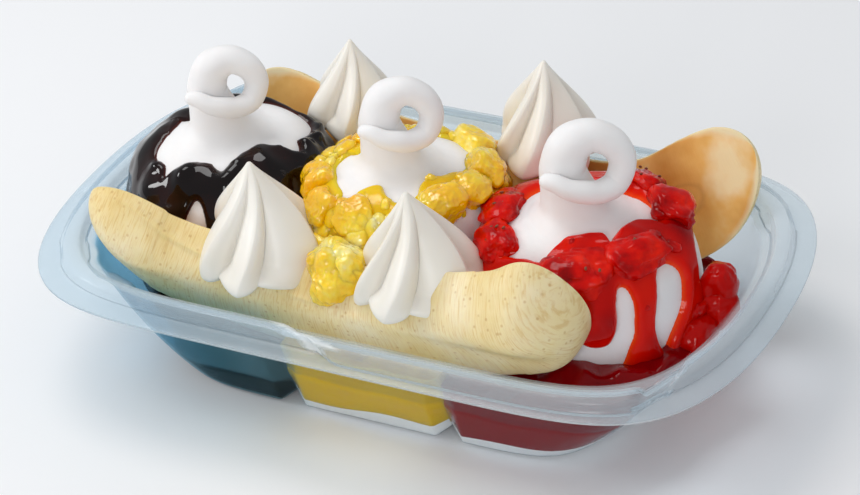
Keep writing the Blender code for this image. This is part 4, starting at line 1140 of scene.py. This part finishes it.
def peeledBanana():
    # ripe banana: cream-yellow outside with fibres running round it and tan specks; amber cut face, paler towards
    # its rim, with brown arcs round the core
    material, tree, shader, place = newMaterial("peeledRipeBanana", {
        "Roughness": 0.45, "IOR": 1.4, "Subsurface Weight": 0.25, "Subsurface Radius": (1.0, 0.75, 0.35),
        "Subsurface Scale": 0.0025})
    reads = {name: addNode(tree, "ShaderNodeAttribute", {"attribute_name": name}).outputs["Fac"]
             for name in ("cutFace", "across", "along", "turned", "inner")}
    wrapped = addNode(tree, "ShaderNodeCombineXYZ", links={"X": reads["along"], "Y": reads["turned"]})
    fibres = addNode(tree, "ShaderNodeTexNoise", values={"Scale": 2.6, "Detail": 4.0, "Distortion": 0.5},
                     links={"Vector": wrapped.outputs["Vector"]})
    cloud = addNode(tree, "ShaderNodeTexNoise", values={"Scale": perMetre(22.22), "Detail": 4.0},
                    links={"Vector": place})
    outside = addRamp(tree, ((0.3, "#e6cb88"), (0.5, "#f1dda8"), (0.7, "#f7e9c6")), cloud.outputs["Fac"])
    streak = addRamp(tree, ((0.34, "#e2c389"), (0.52, "#ffffff")), fibres.outputs["Fac"])
    striped = addNode(tree, "ShaderNodeMix", {"data_type": "RGBA", "blend_type": "MULTIPLY"}, {"Factor": 0.45},
                      {"A": outside, "B": streak})
    # tan specks, one in each cell of 2.4 mm
    specks = addNode(tree, "ShaderNodeTexVoronoi", values={"Scale": perMetre(2.38), "Randomness": 1.0},
                     links={"Vector": place})
    near = addRamp(tree, ((0.08, "#c79a55"), (0.24, "#ffffff")), specks.outputs["Distance"])
    skin = addNode(tree, "ShaderNodeMix", {"data_type": "RGBA", "blend_type": "MULTIPLY"}, {"Factor": 0.42},
                   {"A": striped.outputs["Result"], "B": near})
    flesh = addRamp(tree, ((0.36, "#dc9c48"), (0.5, "#edb968"), (0.64, "#f8dfae")), cloud.outputs["Fac"])
    # distance from the core: across the half, and back from its rounded end, as one length
    back = addNode(tree, "ShaderNodeMapRange", links={"Value": reads["inner"]},
                   values={"From Min": 24.0, "From Max": 2.0, "To Min": 0.0, "To Max": 0.72})
    reach = addNode(tree, "ShaderNodeCombineXYZ", links={"X": reads["across"], "Y": back.outputs["Result"]})
    wobble = addNode(tree, "ShaderNodeMath", {"operation": "MULTIPLY"}, {1: 0.5}, {0: cloud.outputs["Fac"]})
    length = addNode(tree, "ShaderNodeVectorMath", {"operation": "LENGTH"}, links={0: reach.outputs["Vector"]})
    ringed = addNode(tree, "ShaderNodeMath", {"operation": "ADD"}, None,
                     {0: length.outputs["Value"], 1: wobble.outputs["Value"]})
    rings = addRamp(tree, ((0.0, "#f6dcc0"), (0.26, "#f3d3ac"), (0.30, "#b98352"), (0.34, "#fbe3bd"),
                           (0.47, "#ffe9c6"), (0.51, "#c59261"), (0.56, "#ffedcf"), (0.90, "#ffffff"),
                           (1.0, "#ffffff")), ringed.outputs["Value"])
    core = addNode(tree, "ShaderNodeMix", {"data_type": "RGBA", "blend_type": "MULTIPLY"}, {"Factor": 0.30},
                   {"A": flesh, "B": rings})
    outer = addNode(tree, "ShaderNodeMapRange", values={"From Min": 1.20, "From Max": 1.34},
                    links={"Value": ringed.outputs["Value"]})
    rim = addNode(tree, "ShaderNodeMix", {"data_type": "RGBA"}, {"B": hexColour("#f0deb4")},
                  {"Factor": outer.outputs["Result"], "A": core.outputs["Result"]})
    colour = addNode(tree, "ShaderNodeMix", {"data_type": "RGBA"}, None,
                     {"Factor": reads["cutFace"], "A": skin.outputs["Result"], "B": rim.outputs["Result"]})
    tree.links.new(colour.outputs["Result"], shader.inputs["Base Color"])
    addBump(tree, shader, fibres.outputs["Fac"], 0.0002, 0.4)
    return material


def studioFloor():
    # painted board: pale, even and matt
    material, tree, shader, place = newMaterial("paintedStudioFloor", {"Roughness": 0.7})
    shader.inputs["Base Color"].default_value = hexColour("#f7f7f8")
    return material


# ---- build

print("dish")
makeDish(thermoformedPlastic())
print("soft serve")
serve = vanillaSoftServe()
for side in mounds:
    makeSoftServe(side, serve)
print("banana halves")
flesh = peeledBanana()
for node in bananas:
    makeBanana(node, flesh)
print("cream stars")
cream = whippedCream()
for node in stars:
    makeStar(node, cream)
print("sauces and fruit")
makeSauce("chocolate", chocolateSyrup())
makeSauce("pineapple", pineappleSyrup())
makeSauce("strawberry", strawberrySyrup())
pine, berry = pineappleFlesh(), strawberryFlesh()
makeFruit("pineapple", pine)
makeFruit("strawberry", berry)
makeCrushed("pineapple", "crushedPineapple", pine)
makeCrushed("strawberry", "crushedStrawberry", berry)
makeSeeds(strawberryPip())


# ---- floor, light and camera

def makeFloor():
    # a square a little under the dish
    size, level = 1.6, -0.0002
    corners = [(x * size, y * size, level) for x, y in ((-1, -1), (1, -1), (1, 1), (-1, 1))]
    mesh = bpy.data.meshes.new("floor")
    mesh.from_pydata(corners, [], [(0, 1, 2, 3)])
    mesh.materials.append(studioFloor())
    floor = bpy.data.objects.new("floor", mesh)
    bpy.context.scene.collection.objects.link(floor)


lamps = {
    "overheadSoftbox": {"at": (-0.3, 0.08, 0.9), "aim": (0, 0, 0.05), "size": 0.4, "watts": 3.0},
    "frontFill": {"at": (0.2, -0.95, 0.5), "aim": (0, 0, 0.04), "size": 0.28, "watts": 2.3},
    "leftWindow": {"at": (-0.8, -0.3, 0.45), "aim": (0, 0, 0.04), "size": 0.2, "watts": 1.9},
}


def aimAt(thing, place, target):
    # places a lamp and turns its -Z axis towards a target
    way = np.array(target, float) - np.array(place, float)
    thing.location = place
    flat = math.hypot(way[0], way[1])
    thing.rotation_euler = (math.atan2(flat, -way[2]), 0.0, math.atan2(way[1], way[0]) - math.pi / 2)


def makeLamps():
    for name, spec in lamps.items():
        light = bpy.data.lights.new(name, "AREA")
        light.energy, light.size = spec["watts"], spec["size"]
        lamp = bpy.data.objects.new(name, light)
        bpy.context.scene.collection.objects.link(lamp)
        aimAt(lamp, spec["at"], spec["aim"])
    world = bpy.data.worlds.new("studio")
    world.use_nodes = True
    world.node_tree.nodes["Background"].inputs["Color"].default_value = hexColour("#eef2f6")
    world.node_tree.nodes["Background"].inputs["Strength"].default_value = 0.52
    bpy.context.scene.world = world


camera = {"azimuth": 27.42, "elevation": 32.92, "roll": -4.0, "distance": 841.4, "target": (0.0, 0.0, 36.2),
          "focal": 2976.1, "centre": (424.8, 240.75), "frame": (860, 495)}


def makeCamera():
    # a camera on a sphere round the target, rolled about its own axis and turned so that the target sits off centre
    azimuth, elevation, roll = (math.radians(camera[key]) for key in ("azimuth", "elevation", "roll"))
    back = np.array([math.sin(azimuth) * math.cos(elevation), -math.cos(azimuth) * math.cos(elevation),
                     math.sin(elevation)])
    level = np.array([math.cos(azimuth), math.sin(azimuth), 0.0])
    upright = np.cross(back, level)
    right = math.cos(roll) * level + math.sin(roll) * upright
    up = -math.sin(roll) * level + math.cos(roll) * upright
    place = (np.array(camera["target"]) + back * camera["distance"]) * 0.001
    offX = (camera["frame"][0] / 2 - camera["centre"][0]) / camera["focal"]
    offY = (camera["frame"][1] / 2 - camera["centre"][1]) / camera["focal"]
    newBack = back - right * offX + up * offY
    newBack /= np.linalg.norm(newBack)
    newRight = right - newBack * right.dot(newBack)
    newRight /= np.linalg.norm(newRight)
    newUp = np.cross(newBack, newRight)
    data = bpy.data.cameras.new("camera")
    data.sensor_width = 36.0
    data.lens = camera["focal"] / camera["frame"][0] * 36.0
    data.clip_start, data.clip_end = 0.01, 10.0
    thing = bpy.data.objects.new("camera", data)
    bpy.context.scene.collection.objects.link(thing)
    matrix = np.eye(4)
    matrix[:3, 0], matrix[:3, 1], matrix[:3, 2], matrix[:3, 3] = newRight, newUp, newBack, place
    thing.matrix_world = Matrix(matrix.tolist())
    bpy.context.scene.camera = thing


print("floor, light and camera")
makeFloor()
makeLamps()
makeCamera()
bpy.context.scene.view_settings.view_transform = "Standard"
